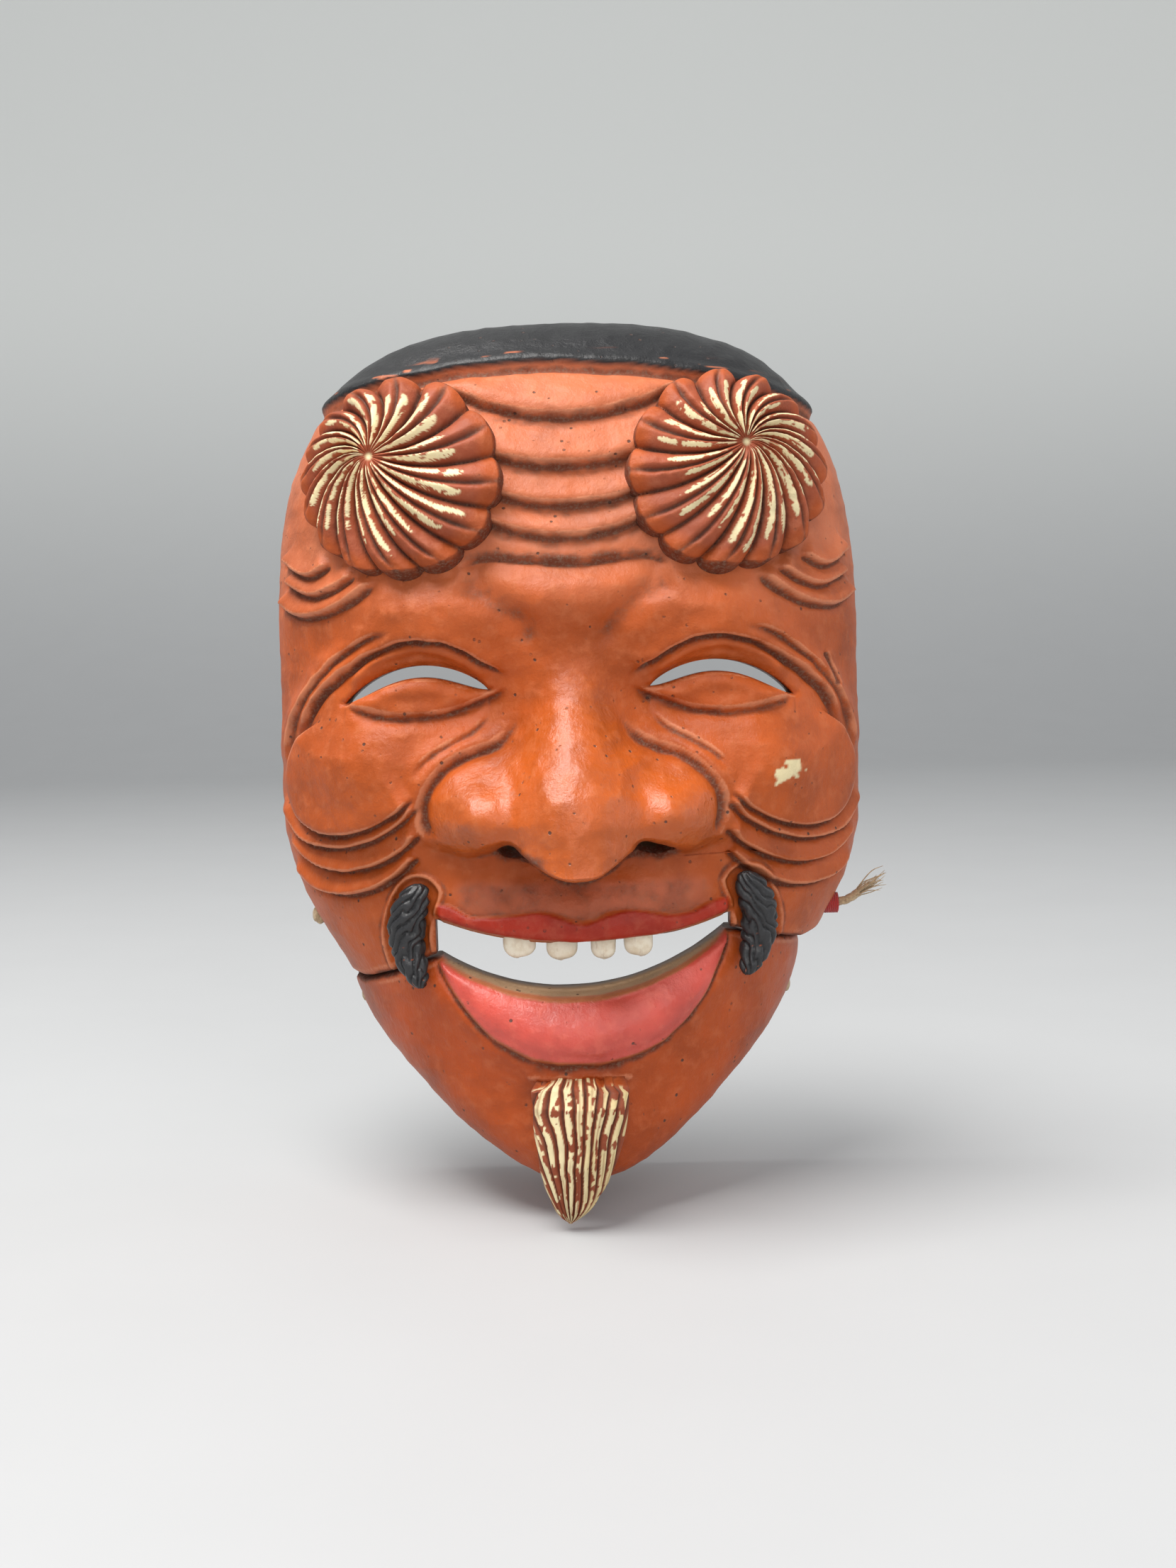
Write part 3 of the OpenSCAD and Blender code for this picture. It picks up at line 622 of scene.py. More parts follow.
def mask_grid(rows, cols, t):
    """Angles, heights, x and rim distance of a grid over the upper mask."""
    a = columns(cols)
    low = lower_edge(a, lambda z: mask_half(z, t), lambda x, _: seam(x) + SEAM_GAP / 2, JAW_LINE_Z)
    top = CROWN_Z - t - 0.06

    def profile(z):
        return np.stack([0.7 * mask_depth(z, t) + 0.6 * nose(NOSE_X, z) + 0.3 * mask_half(z, t), z])
    steps = even_steps(profile, JAW_LINE_Z, top, rows)
    v = np.linspace(0, 1, rows)
    z = steps[:, None] + (low - JAW_LINE_Z)[None, :] * smooth(1 - v / 0.3)[:, None]
    a = np.broadcast_to(a, z.shape)
    return a, z, mask_half(z, t) * np.sin(a), low


def chisel_marks(x, z, size, depth, seed):
    cuts, swell = gouges(x * 1.1, z * 0.8, size, seed) - 0.5, noise(x, z, 9, seed + 5) - 0.5
    return depth * (cuts + 0.4 * swell)


def back_paint(x, z):
    streaks = noise(x * 1.5, z * 0.18, 1.4, 90) * 0.5 + noise(x, z, 12, 91) * 0.5
    paint = np.tile(BACK_WOOD, (len(x), 1)) * (0.6 + 0.8 * streaks)[:, None]
    marks = np.stack([0.35 * noise(x, z, 6, 92), 0 * x, 0.15 + 0 * x], axis=1)
    return paint, marks


MASK_ROWS, MASK_COLS = (400, 470)
BACK_ROWS, BACK_COLS = (110, 130)


def upper_mask():
    a, z, x, low = mask_grid(MASK_ROWS, MASK_COLS, 0.0)
    s = np.sin(a)
    y = -mask_depth(z) * section(s) - mask_forms(x, z) * (1 - np.abs(s) ** 8)
    plain = xyz(x, y, z)
    r, zones = carve_mask(plain[:, 0], plain[:, 2])
    # Painted shade darkens the mask's lower edge along the seam, and a painted highlight lightens the band
    # just above it.
    over_seam = (z - low[None, :]).ravel()
    r.height -= 0.7 * np.clip(1 - over_seam / 1.1, 0, 1) ** 2
    r.darken(0.9 * bell(over_seam / 0.7))
    r.lighten(0.6 * bell((over_seam - 1.4) / 0.7))
    height = r.height * smooth(-plain[:, 1] / 7)
    outer = plain + normals_of(plain, MASK_ROWS, MASK_COLS) * height[:, None]
    outer = outer.reshape(MASK_ROWS, MASK_COLS, 3)
    outer[:, 0, 1] = outer[:, -1, 1] = 0.0
    outer[-1, :, 1] = 0.0
    outer[..., 1] = np.minimum(outer[..., 1], 0.0)
    outer = outer.reshape(-1, 3)
    deep = hollows(outer, MASK_ROWS, MASK_COLS, 5)
    paint, marks = paint_mask(plain[:, 0], plain[:, 2], r, zones, deep)
    a, z, x, _ = mask_grid(BACK_ROWS, BACK_COLS, WALL)
    y = -mask_depth(z, WALL) * section(np.sin(a)) - 0.45 * nose(x, z)
    inner = xyz(x, y, z)
    cuts = chisel_marks(inner[:, 0], inner[:, 2], 7.0, 0.7, 95) * smooth(-inner[:, 1] / 5)
    inner += normals_of(inner, BACK_ROWS, BACK_COLS) * cuts[:, None]
    inner[-BACK_COLS:, 1] = 0.0
    inner[:, 1] = np.minimum(inner[:, 1], 0.0)
    inner_paint, inner_marks = back_paint(inner[:, 0], inner[:, 2])
    mask = wall("mask_face", outer, (MASK_ROWS, MASK_COLS), inner, (BACK_ROWS, BACK_COLS))
    xs = np.linspace(MOUTH_X - MOUTH_HALF, MOUTH_X + MOUTH_HALF, 81)
    cutters = [prism("mouth", [(px, pz) for px, pz in zip(xs, upper_lip(xs))]
                     + [(xs[-1], -110), (xs[0], -110)], -100, 5)]
    for side in (-1, 1):
        us = np.linspace(-1, 1, 41)
        ex = side * (EYE_X + us * EYE_HALF)
        eye_low, eye_high, _ = eye_edges(ex)
        cutters.append(prism("eye", list(zip(ex, eye_high)) + list(zip(ex, eye_low))[-2:0:-1], -75, -20))
        cutters.append(pod("nostril", (NOSTRIL_MID + side * NOSTRIL_OUT, -53, -30.8), (5.4, 8.0, 2.3),
                           tilt=math.radians(14), lean=math.radians(side * 8)))
        cutters.append(side_hole("cord_hole", side, 40, 90, 0, CORD_HOLE_R))
        cutters.append(side_hole("tie_hole", side, 40, 90, TIE_TOP, TIE_HOLE_R))
        cutters.append(side_hole("tie_seat", side, 61.3, 75, TIE_TOP, TIE_SEAT_R))
    cut_away(mask, cutters)
    carry_colours(mask, (outer, inner), (paint, inner_paint), (marks, inner_marks))
    return mask


# ---- The lower jaw -----------------------------------------------------------

JAW_HALF, JAW_TOP, CHIN_Z, JAW_DEPTH, CHIN_DROP = 56.5, -59.0, -104.0, 50.0, 14.5


def jaw_s(z, t=0.0):
    return np.clip((JAW_TOP - z) / (JAW_TOP - CHIN_Z - t), 0, 1)


def jaw_half(z, t=0.0):
    return (JAW_HALF - t) * (1 - jaw_s(z, t) ** 2) ** 0.85


def jaw_depth(z, t=0.0):
    return (JAW_DEPTH - t) * (1 - jaw_s(z, t) ** 6) ** 0.38


def jaw_forms(x, z):
    lip = 6 * bell((z - lower_lip(x) + 9) / 6) * bell((x - MOUTH_X) / 34)
    return lip + 3 * bump(x, z, MOUTH_X, -86, 18, 8)


def jaw_edge(x, a):
    """The jaw's upper edge, with more room behind its pivot."""
    return seam(x) - SEAM_GAP / 2 - 1.7 * smooth((np.abs(np.sin(a)) - 0.97) / 0.022)


def chin_sag(y, z):
    return CHIN_DROP * smooth((JAW_TOP - 4 - z) / 34) * np.clip(-y / 50, 0, 1)


def jaw_grid(rows, cols, t, formed):
    a = columns(cols)
    high = lower_edge(a, lambda z: jaw_half(z, t), jaw_edge, -60.0)
    low = CHIN_Z + t + 0.08

    def profile(z):
        y = -jaw_depth(z, t)
        return np.stack([y + 0.5 * jaw_half(z, t), z - chin_sag(y, z)])
    steps = even_steps(profile, low, -60.0, rows)
    v = np.linspace(0, 1, rows)
    z = steps[:, None] + (high + 60.0)[None, :] * smooth((v - 0.55) / 0.45)[:, None]
    a = np.broadcast_to(a, z.shape)
    s = np.sin(a)
    x = jaw_half(z, t) * s
    y = -jaw_depth(z, t) * section(s)
    if formed:
        y = y - jaw_forms(x, z) * (1 - np.abs(s) ** 8)
    y[:, 0] = y[:, -1] = y[0] = 0.0
    under_edge = high[None, :] - z
    return xyz(x, y, z - chin_sag(y, z)), under_edge.ravel()


def lip_bottom(x):
    s = np.minimum(1.1, np.abs((x - MOUTH_X) / MOUTH_HALF))
    return -78.4 + (lower_lip(x) + 78.4) * s ** 2.3


def carve_jaw(x, z, under_edge):
    """The carving and paint of the lower jaw."""
    r = Relief(x, z)
    s = np.abs((x - MOUTH_X) / MOUTH_HALF)
    top, bottom = lower_lip(x), lip_bottom(x)
    wave = 0.7 * (noise(x, z, 5, 110) - 0.5)
    span = np.maximum(top - bottom, 1.0)
    t = (top - z) / span
    inside = smooth((z - bottom + wave) / 0.6 + 0.5) * smooth((1.0 - s) / 0.05)
    r.height += inside * 1.6 * np.sin(np.pi * np.clip(t, 0, 1)) ** 0.7
    rim = bell((z - bottom + wave) / 0.8) * smooth((1.04 - s) / 0.05)
    r.height += 0.55 * rim - 0.6 * bell((z - bottom + wave + 1.9) / 1.0) * smooth((1.02 - s) / 0.05)
    r.darken(0.6 * bell((z - bottom + wave + 1.8) / 1.1) * smooth((1.02 - s) / 0.05))
    bare_width = 0.3 + 1.0 * np.clip(1 - s * s, 0, 1)
    edge = top - z
    bare = smooth((bare_width - edge + 0.4 * wave) / 0.5 + 0.5) * smooth((0.97 - s) / 0.05)
    r.height -= 2.2 * smooth((1.03 - s) / 0.05) * np.clip(1 - edge / 3.0, 0, 1) ** 2
    inner_rim = smooth((bare_width + 1.7 * (1 - s ** 3) - edge + 0.5 * wave) / 0.4 + 0.5) * (1 - bare)
    lip_only = inside * (1 - bare) * (1 - inner_rim)
    r.height += 0.25 * lip_only * (gouges(x * 0.8, z, 4.2, 112) - 0.4)
    # Beside the mouth, painted shade darkens the jaw's upper edge and a painted highlight lightens the band
    # just below it.
    r.height -= 0.7 * np.clip(1 - under_edge / 1.1, 0, 1) ** 2 * (1 - smooth((1.0 - s) / 0.02))
    r.darken(0.9 * bell(under_edge / 0.9) * smooth((s - 0.97) / 0.03))
    r.lighten(0.7 * bell((under_edge - 1.6) / 0.8) * smooth((s - 0.97) / 0.03))
    r.height += (1 - lip_only) * (0.36 * gouges(x, z * 0.9, 5.0, 114) + 0.6 * (noise(x, z, 13, 116) - 0.5))
    r.height += 0.16 * (noise(x, z, 2.4, 117) - 0.5)
    # A ragged ridge at the root of the beard.
    root = bell((z + 81.6 + 1.2 * noise(x, 0 * z, 1.3, 118)) / 0.9) * smooth((13 - np.abs(x - 0.5)) / 2)
    r.height += 0.4 * root
    r.lighten(root)
    r.darken(0.7 * bell((z + 79.8) / 1.4) * smooth((12 - np.abs(x - 0.5)) / 3))
    bare = bare * smooth((edge + 1.5) / 0.5)
    return r, lip_only, bare, np.maximum(rim * (1 - inside * 0.6), inner_rim * inside)


def lower_jaw():
    rows, cols = (210, 330)
    plain, under_edge = jaw_grid(rows, cols, 0.0, True)
    x, z = plain[:, 0], plain[:, 2]
    r, lip, bare, rim = carve_jaw(x, z, under_edge)
    height = r.height * smooth(-plain[:, 1] / 7)
    outer = plain + normals_of(plain, rows, cols) * height[:, None]
    outer[:, 1] = np.minimum(outer[:, 1], 0.0)
    deep = hollows(outer, rows, cols, 5)
    paint = np.tile(JAW_RED, (len(x), 1))
    paint = lay(NOSE_ORANGE, paint, 0.35 * noise(x, z, 15, 120))
    paint = lay(VERMILION * 0.75, paint, 0.8 * smooth((np.abs(x) - 30) / 22) * noise(x, z, 9, 121))
    paint = lay(LIP_RIM, paint, rim)
    paint = lay(PINK_LIP, paint, lip)
    paint = lay(BARE_WOOD, paint, bare)
    # Hollows are darkened by their depth and crests lightened, as dirt and wear and also as painted shade and
    # highlight.
    dirt_and_shade = np.clip(r.grime_and_shade * (0.5 + 0.9 * noise(x, z, 2.0, 122)) + np.clip(deep * 1.5, 0, 1) * 0.7, 0, 1)
    wear_and_highlight = np.clip(r.wear_and_highlight * (0.3 + noise(x, z, 2.6, 123)) + np.clip(-deep * 1.2 - 0.15, 0, 1), 0, 1)
    marks = np.stack([np.maximum(dirt_and_shade, 0.2 * bare), wear_and_highlight * (1 - bare), 0.4 + 0.3 * lip - 0.3 * bare], axis=1)
    inner_rows, inner_cols = (60, 100)
    inner, _ = jaw_grid(inner_rows, inner_cols, WALL, False)
    cuts = chisel_marks(inner[:, 0], inner[:, 2], 6.0, 0.6, 130) * smooth(-inner[:, 1] / 5)
    inner += normals_of(inner, inner_rows, inner_cols) * cuts[:, None]
    inner[:, 1] = np.minimum(inner[:, 1], 0.0)
    inner_paint, inner_marks = back_paint(inner[:, 0], inner[:, 2])
    jaw = wall("jaw_face", outer, (rows, cols), inner, (inner_rows, inner_cols))
    xs = np.linspace(MOUTH_X - MOUTH_HALF, MOUTH_X + MOUTH_HALF, 81)
    cutters = [prism("mouth", list(zip(xs, lower_lip(xs))) + [(xs[-1], 0), (xs[0], 0)], -100, 5)]
    for side in (-1, 1):
        cutters.append(side_hole("tie_hole", side, 36, 80, TIE_LOW, TIE_HOLE_R))
        cutters.append(side_hole("tie_seat", side, 49.6, 62, TIE_LOW, TIE_SEAT_R))
    cut_away(jaw, cutters)
    carry_colours(jaw, (outer, inner), (paint, inner_paint), (marks, inner_marks))
    return jaw


# ---- Tufts of hair -----------------------------------------------------------

def brow_tuft(side):
    """A pinwheel of curved petals, each with a dark groove between two strokes of cream paint."""
    rows, cols, petals = 90, 476, 14
    hub_x, hub_z = TUFTS[side]
    hub = np.array([side * hub_x, hub_z])
    off = hub - np.array([side * TUFT_X, TUFT_Z])
    rho = np.linspace(0.004, 1, rows)[:, None]
    theta = np.linspace(0, 2 * np.pi, cols, endpoint=False)[None, :]
    inward = math.pi if side > 0 else 0.0
    curl = 0.45 + 0.5 * (0.5 - 0.5 * np.cos(theta - inward))
    phase = petals * (theta + side * curl * rho ** 0.85) / (2 * np.pi)
    f = phase - np.floor(phase)
    petal = np.floor(phase).astype(int) % petals
    rand = np.random.default_rng(5 + side)
    depth_of, length_of, start_of = rand.random(petals), rand.random(petals), rand.random(petals)
    reach_c = off[0] * np.cos(theta) + off[1] * np.sin(theta)
    reach = -reach_c + np.sqrt(reach_c ** 2 - (off @ off) + TUFT_R ** 2)
    lobe = np.sin(np.pi * f) ** 0.55
    reach = reach * (0.985 - 0.07 * (1 - lobe) * rho ** 3 + 0.02 * (length_of[petal] - 0.5) * rho ** 3)
    x = hub[0] + rho * reach * np.cos(theta)
    z = hub[1] + rho * reach * np.sin(theta)
    deep = (1.0 + 0.5 * depth_of[petal]) * smooth(rho / 0.3)
    middle = bell((f - 0.5) / 0.085) * smooth((1.02 - rho) / 0.25)
    height = 2.6 + 4.0 * np.maximum(0, 1 - rho ** 2.8) ** 0.5
    height = height + deep * (2.6 * lobe - 1.9) - 1.1 * deep * middle
    facets = gouges(phase * 2.2, rho * 6.0, 1.0, 140)
    height = height + 0.35 * facets * smooth((rho - 0.55) / 0.3) + 0.25 * (noise(x, z, 1.4, 141) - 0.5)
    height = height * smooth((1.012 - rho) / 0.035) - 0.6 * smooth((rho - 0.985) / 0.015)
    height = height - 1.3 * bell(rho / 0.07)
    x, z = x.ravel(), z.ravel()
    base = np.stack([x, mask_y(x, z), z], axis=1)
    normal = mask_normal(x, z)
    top = base + normal * height.ravel()[:, None]
    points = np.vstack([top, base[-cols:] - normal[-cols:] * 1.2, [base[:cols].mean(0) - normal[0] * 1.2],
                        [top[:cols].mean(0)]])
    faces = grid_quads(rows, cols, closed=True, flip=True).tolist()
    last, low, centre, peak = (rows - 1) * cols, rows * cols, rows * cols + cols, rows * cols + cols + 1
    for k in range(cols):
        q = (k + 1) % cols
        faces += [[last + q, last + k, low + k, low + q], [low + q, low + k, centre], [k, q, peak]]
    tuft = make_mesh("brow_tuft_" + ("left" if side < 0 else "right") + "_carved", points, faces)
    # Cream strokes on the two crests of each petal, chipped and ending short of its lobe.
    ff, rr = f.ravel(), np.broadcast_to(rho, f.shape).ravel()
    pp = petal.ravel()
    width = 0.095 + 0.075 * noise(pp * 3.1, rr, 0.2, 142)
    crest = np.maximum(bell((ff - 0.27) / width), bell((ff - 0.74) / (width * 0.8)))
    to_middle = 0.5 + 0.5 * np.cos(np.broadcast_to(theta, f.shape).ravel() - inward)
    end = 0.72 + 0.24 * noise(pp * 7.7 + (ff > 0.5) * 3.3, 0 * rr, 1.0, 143) - 0.10 * to_middle ** 2
    begin = 0.0 + 0.16 * start_of[pp]
    broken = noise(phase.ravel() * 9.0, rr * 14, 1.0, 144) * 0.7 + noise(x, z, 0.7, 145) * 0.3
    white = crest * (1 - 0.75 * smooth((rr - end + 0.17) / 0.2)) * smooth((end - rr) / 0.04)
    white = white * smooth((rr - begin) / 0.06 + 0.3)
    hair_gap = bell((noise(ff * 30, rr * 2.5, 1.0, 146) - 0.5) / 0.07)
    white = smooth((white - 0.36 - 0.55 * smooth((broken - 0.54) / 0.18) - 0.3 * hair_gap) / 0.12)
    white = np.maximum(white, smooth((0.05 - rr) / 0.04) * (broken < 0.8))
    groove = np.clip(bell((ff - 0.5) / 0.06) + bell(ff / 0.07) + bell((1 - ff) / 0.07), 0, 1)
    groove *= smooth((rr - 0.06) / 0.1)
    paint = np.tile(TUFT_BROWN, (len(x), 1))
    paint = lay(VERMILION * 0.9, paint, smooth((rr - 0.8) / 0.12) * 0.8)
    # The grooves between and down the middle of the petals are painted near black: painted shade.
    paint = lay(GROOVE_DARK, paint, 0.75 * groove * smooth((1.0 - rr) / 0.2))
    paint = lay(CREAM * (1 - 0.06 * side), paint, white)
    # The rim where the tuft meets the face is darkened: painted shade.
    dirt_and_shade = np.clip(groove * 0.5 + 0.7 * smooth((rr - 0.96) / 0.03), 0, 1) * (1 - white)
    wear_and_highlight = 0.35 * smooth((rr - 0.8) / 0.1) * lobe.ravel() * (1 - white)
    marks = np.stack([dirt_and_shade, wear_and_highlight, 0.35 + 0.1 * white], axis=1)
    # The sunk underside is painted dark: painted shade under the tuft.
    extra_paint = np.tile(TUFT_BROWN * 0.4, (cols + 1, 1))
    extra_marks = np.tile([0.8, 0.0, 0.1], (cols + 1, 1))
    colour_mesh(tuft, np.vstack([paint, extra_paint, CREAM[None]]),
                np.vstack([marks, extra_marks, [[0, 0, 0.4]]]))
    return tuft


def level_tube(name, route, half_x, half_y, rows, cols, shape, lift=None):
    """A closed tube of elliptical rings along a route.

    shape gives each point's swelling, paint and marks, and lift raises the points.
    """
    u = (0.5 - 0.5 * np.cos(np.linspace(0, np.pi, rows)))[:, None]
    a = np.linspace(0, 2 * np.pi, cols, endpoint=False)[None, :]
    swell, paint, marks = shape(u + 0 * a, a + 0 * u)
    centre = np.stack([np.interp(u[:, 0], route[0], route[k]) for k in (1, 2, 3)], axis=1)
    hx = half_x(u) * (1 + 0 * a)
    hy = half_y(u) * (1 + 0 * a)
    x = centre[:, :1] + (hx + swell) * np.cos(a)
    y = centre[:, 1:2] + (hy + swell) * np.sin(a)
    z = centre[:, 2:] + (0 * a if lift is None else lift(u, a))
    points = xyz(x, y, z)
    points = np.vstack([points, points[:cols].mean(0), points[-cols:].mean(0)])
    tube = make_mesh(name, points, tube_faces(rows, cols, flip=True))
    ends = [0, -1]
    colour_mesh(tube, np.vstack([paint.reshape(-1, 3), paint[ends, 0]]),
                np.vstack([marks.reshape(-1, 3), marks[ends, 0]]))
    return tube


def moustache(side):
    """A black tuft with rope-like oblique grooves that hangs over the seam."""
    x0, z0 = MOUSTACHES[side]
    u = np.linspace(0, 1, 60)
    x = side * (x0 + 3 * np.sin(np.pi * u))
    z = z0 + 2.0 - (MOUSTACHE_LEN + 2.0) * u
    y = mask_y(x, np.maximum(z, -54.0)) - 2.4 - 1.9 * u

    def bulge(v):
        return np.maximum(0.02, 1 - np.abs(2 * v - 1) ** 3) ** (1 / 2.4)

    def shape(v, a):
        strands = 7.0 * v - side * 1.7 * np.cos(a) + 1.1 * noise(v * 10, np.cos(a) * 3, 1.2, 150)
        f = strands - np.floor(strands)
        ridge = np.sin(np.pi * f) ** 0.6
        swell = (0.75 * ridge - 0.55) * smooth(v / 0.1) * smooth((1 - v) / 0.1)
        swell = swell + 0.25 * (noise(v * 22, np.cos(a) * 4, 1.0, 151) - 0.5)
        # The black is lighter on the ridges and darker in the grooves: painted highlight and shade.
        paint = np.tile(BLACK, v.shape + (1,)) * (0.8 + 0.9 * ridge[..., None])
        spots = smooth((noise(v * 25, np.cos(a) * 6, 1.0, 152) - 0.93) / 0.04)
        paint = lay(VERMILION * 0.7, paint, spots)
        return swell, paint, np.stack([0.25 * (1 - ridge), 0 * v, 0.5 + 0.3 * ridge], axis=-1)
    name = "moustache_" + ("left" if side < 0 else "right") + "_carved"
    return level_tube(name, (u, x, y, z), lambda v: (4.8 - 1.3 * v) * bulge(v),
                      lambda v: 2.9 * bulge(v), 150, 96, shape)


BEARD_TOP, BEARD_LEN, BEARD_STRANDS, BEARD_FREE_Z = -80.5, 35.5, 9, -99.0


def jaw_front(z):
    return -jaw_depth(z) - jaw_forms(np.full_like(z, MOUTH_X), z)


def chin_front(z):
    """The front of the chin at a height, found from the sagged profile of the jaw."""
    grid = np.linspace(CHIN_Z + 0.2, JAW_TOP, 600)
    front = jaw_front(grid)
    return np.interp(z, grid - chin_sag(front, grid), front)


def beard_tuft():
    """A beard of strands that run together to a point."""
    top, length, strands = BEARD_TOP, BEARD_LEN, BEARD_STRANDS
    u = np.linspace(0, 1, 80)
    z = top - length * u
    thick = np.maximum(0.6, 4 * (1 - u ** 3) ** 0.6 * np.minimum(1, 0.35 + 3 * u))
    # The strands lie on the chin down to its tip, hang free below it, and come out of the skin at their root.
    lying = BEARD_FREE_Z + 0.5 * (z - BEARD_FREE_Z + np.hypot(z - BEARD_FREE_Z, 2))
    y = chin_front(lying) - 0.3 - thick - 0.4 * smooth((-97 - z) / 4) + 5.5 * (1 - smooth(u / 0.1))
    x = 0.5 - 3 * u * u

    def across(v):
        return np.maximum(0.5, 11.2 * np.maximum(0, 1 - v ** 2.2) ** 0.66 * (0.86 + 0.14 * smooth(v / 0.13)))

    def ragged(v, a):
        steps = noise(np.cos(a) * 7.5 + 0 * v, 0 * v + 0 * a, 1.0, 165)
        return (2.2 * (steps - 0.5) - 1.6 * np.cos(a) ** 2) * (1 - smooth(v / 0.14))

    def shape(v, a):
        place = (np.cos(a) * 0.98 + 1) / 2
        waves = 1.4 * (noise(v * 9, place * 5, 2.0, 160) - 0.5) + 0.6 * np.sin(4.4 * v)
        lines = strands * place + waves - 0.8 * v * v
        f = lines - np.floor(lines)
        strand = np.floor(lines).astype(int)
        front = smooth(-np.sin(a) * 3)
        ridge = np.sin(np.pi * f) ** 0.6
        fade = smooth((1.02 - v) / 0.12)
        split = bell((f - 0.5) / 0.09) * smooth((noise(strand * 3.3, v * 5, 1.0, 161) - 0.45) / 0.2)
        start = 0.02 + 0.05 * noise(strand * 5.1, 0 * v, 1.0, 164) + 0.02 * (2 * place - 1) ** 2
        swell = ((1.25 * ridge - 0.95) - 0.35 * split) * fade * (0.3 + 0.7 * front)
        swell = swell - 1.6 * front * (1 - smooth((v - start - 0.02) / 0.04))
        broken = 0.65 * noise(lines * 3.2, v * 9, 1.0, 162) + 0.35 * noise(place * 34, v * 40, 1.0, 163)
        thin = 0.14 * noise(strand * 4.7, v * 3, 1.0, 167)
        white = smooth((ridge - 0.62 - thin - 0.5 * smooth((broken - 0.49) / 0.2)) / 0.1)
        white = white * smooth((v - start) / 0.03) * front
        # The gaps between the strands are painted dark: painted shade.
        gap = np.clip(1.2 - 1.6 * ridge, 0, 1)
        paint = np.tile(TUFT_BROWN * 0.8, v.shape + (1,))
        paint = lay(GROOVE_DARK, paint, 0.8 * gap)
        paint = lay(VERMILION * 0.95, paint, 0.9 * front * (1 - smooth((v - start) / 0.04)))
        paint = lay(CREAM, paint, white * (1 - 0.5 * split))
        aged = smooth(0.9 * place + 0.5 * noise(lines, v * 6, 1.0, 166) - 0.45)
        paint = lay(GOLDEN, paint, 0.75 * white * aged)
        marks = np.stack([0.45 * gap * (1 - white), 0 * v, 0.3 + 0.1 * white], axis=-1)
        return swell, paint, marks
    return level_tube("beard_tuft_carved", (u, x, y, z), across,
                      lambda v: np.interp(v[:, 0], u, thick)[:, None], 220, 300, shape, ragged)


# ---- Teeth -------------------------------------------------------------------

TOOTH_X = (-12.6, -3.0, 6.4, 14.4)
TOOTH_W = (7.4, 7.2, 5.8, 6.6)
TOOTH_Y, TOOTH_T, TOOTH_DROP, TOOTH_ROOT = -49.5, 4.5, 4.0, 3.0


def tooth(k):
    """A rounded peg that hangs under the upper lip, rooted in it."""
    rows, cols = 40, 64
    height = TOOTH_DROP + TOOTH_ROOT
    low = upper_lip(TOOTH_X[k]) - TOOTH_DROP
    u = np.linspace(0, 1, rows)[:, None]
    a = np.linspace(0, 2 * np.pi, cols, endpoint=False)[None, :]
    square = (np.abs(np.cos(a)) ** 2.6 + np.abs(np.sin(a)) ** 2.6) ** (-1 / 2.6)
    rise = height * (1 - np.cos(np.pi * u * 0.5)) ** 0.9
    taper = (1 - (1 - np.clip(rise / 2.8, 0, 1)) ** 2.1) ** (1 / 2.1)
    grow = 0.1 + 0.9 * taper
    x = TOOTH_X[k] + TOOTH_W[k] / 2 * square * grow * np.cos(a)
    y = TOOTH_Y + TOOTH_T / 2 * square * grow * np.sin(a)
    z = low + rise + 0.25 * (1 - taper) * np.cos(a + k)
    lumps = 0.18 * (noise(x + 10 * k, z, 1.9, 170 + k) - 0.5)
    points = xyz(x + lumps * np.cos(a), y + lumps * np.sin(a), z)
    points = np.vstack([points, points[:cols].mean(0), points[-cols:].mean(0)])
    return make_mesh("tooth_%d_carved" % (k + 1), points, tube_faces(rows, cols))


# ---- Jaw ties ----------------------------------------------------------------

TIE_R, TAIL_FIBRES = 1.1, 26
CHEEK_X, JOWL_X = 63.7, 52.0


def tie_route(side):
    """A tie's route with radii: the cheek's seat, through the wall, down inside, and out through the jaw."""
    x_in, x_low = CHEEK_X - WALL - TIE_INSET, JOWL_X - WALL - 2.2
    knot = [(-3, TIE_R), (-2, TIE_R), (-1.6, 1.9), (-0.3, 2.45), (1, 2.0), (1.6, 1.0)]
    inside = [(x_in + 7, TIE_TOP), (x_in + 2, TIE_TOP), (x_in + 0.5, TIE_TOP - 0.4), (x_in - 1, TIE_TOP - 3)]
    down = [(mix(x_in - 1, x_low, smooth(u)), TIE_TOP - 3 - 7.7 * u) for u in (0.3, 0.65, 1.0)]
    down += [(x_low, TIE_LOW + 3), (x_low + 1, TIE_LOW + 0.7), (x_low + 3, TIE_LOW)]
    if side > 0:
        start = [(CHEEK_X + 7.5, HOLE_Y, TIE_TOP + 2.4, TIE_R), (CHEEK_X + 4, HOLE_Y, TIE_TOP + 0.5, TIE_R),
                 (CHEEK_X - 1, HOLE_Y, TIE_TOP, TIE_R)]
    else:
        start = [(CHEEK_X + dx, HOLE_Y, TIE_TOP, r) for dx, r in knot[::-1]]
    route = start + [(px, HOLE_Y, pz, TIE_R) for px, pz in inside + down]
    return route + [(JOWL_X + dx, HOLE_Y, TIE_LOW, r) for dx, r in knot]


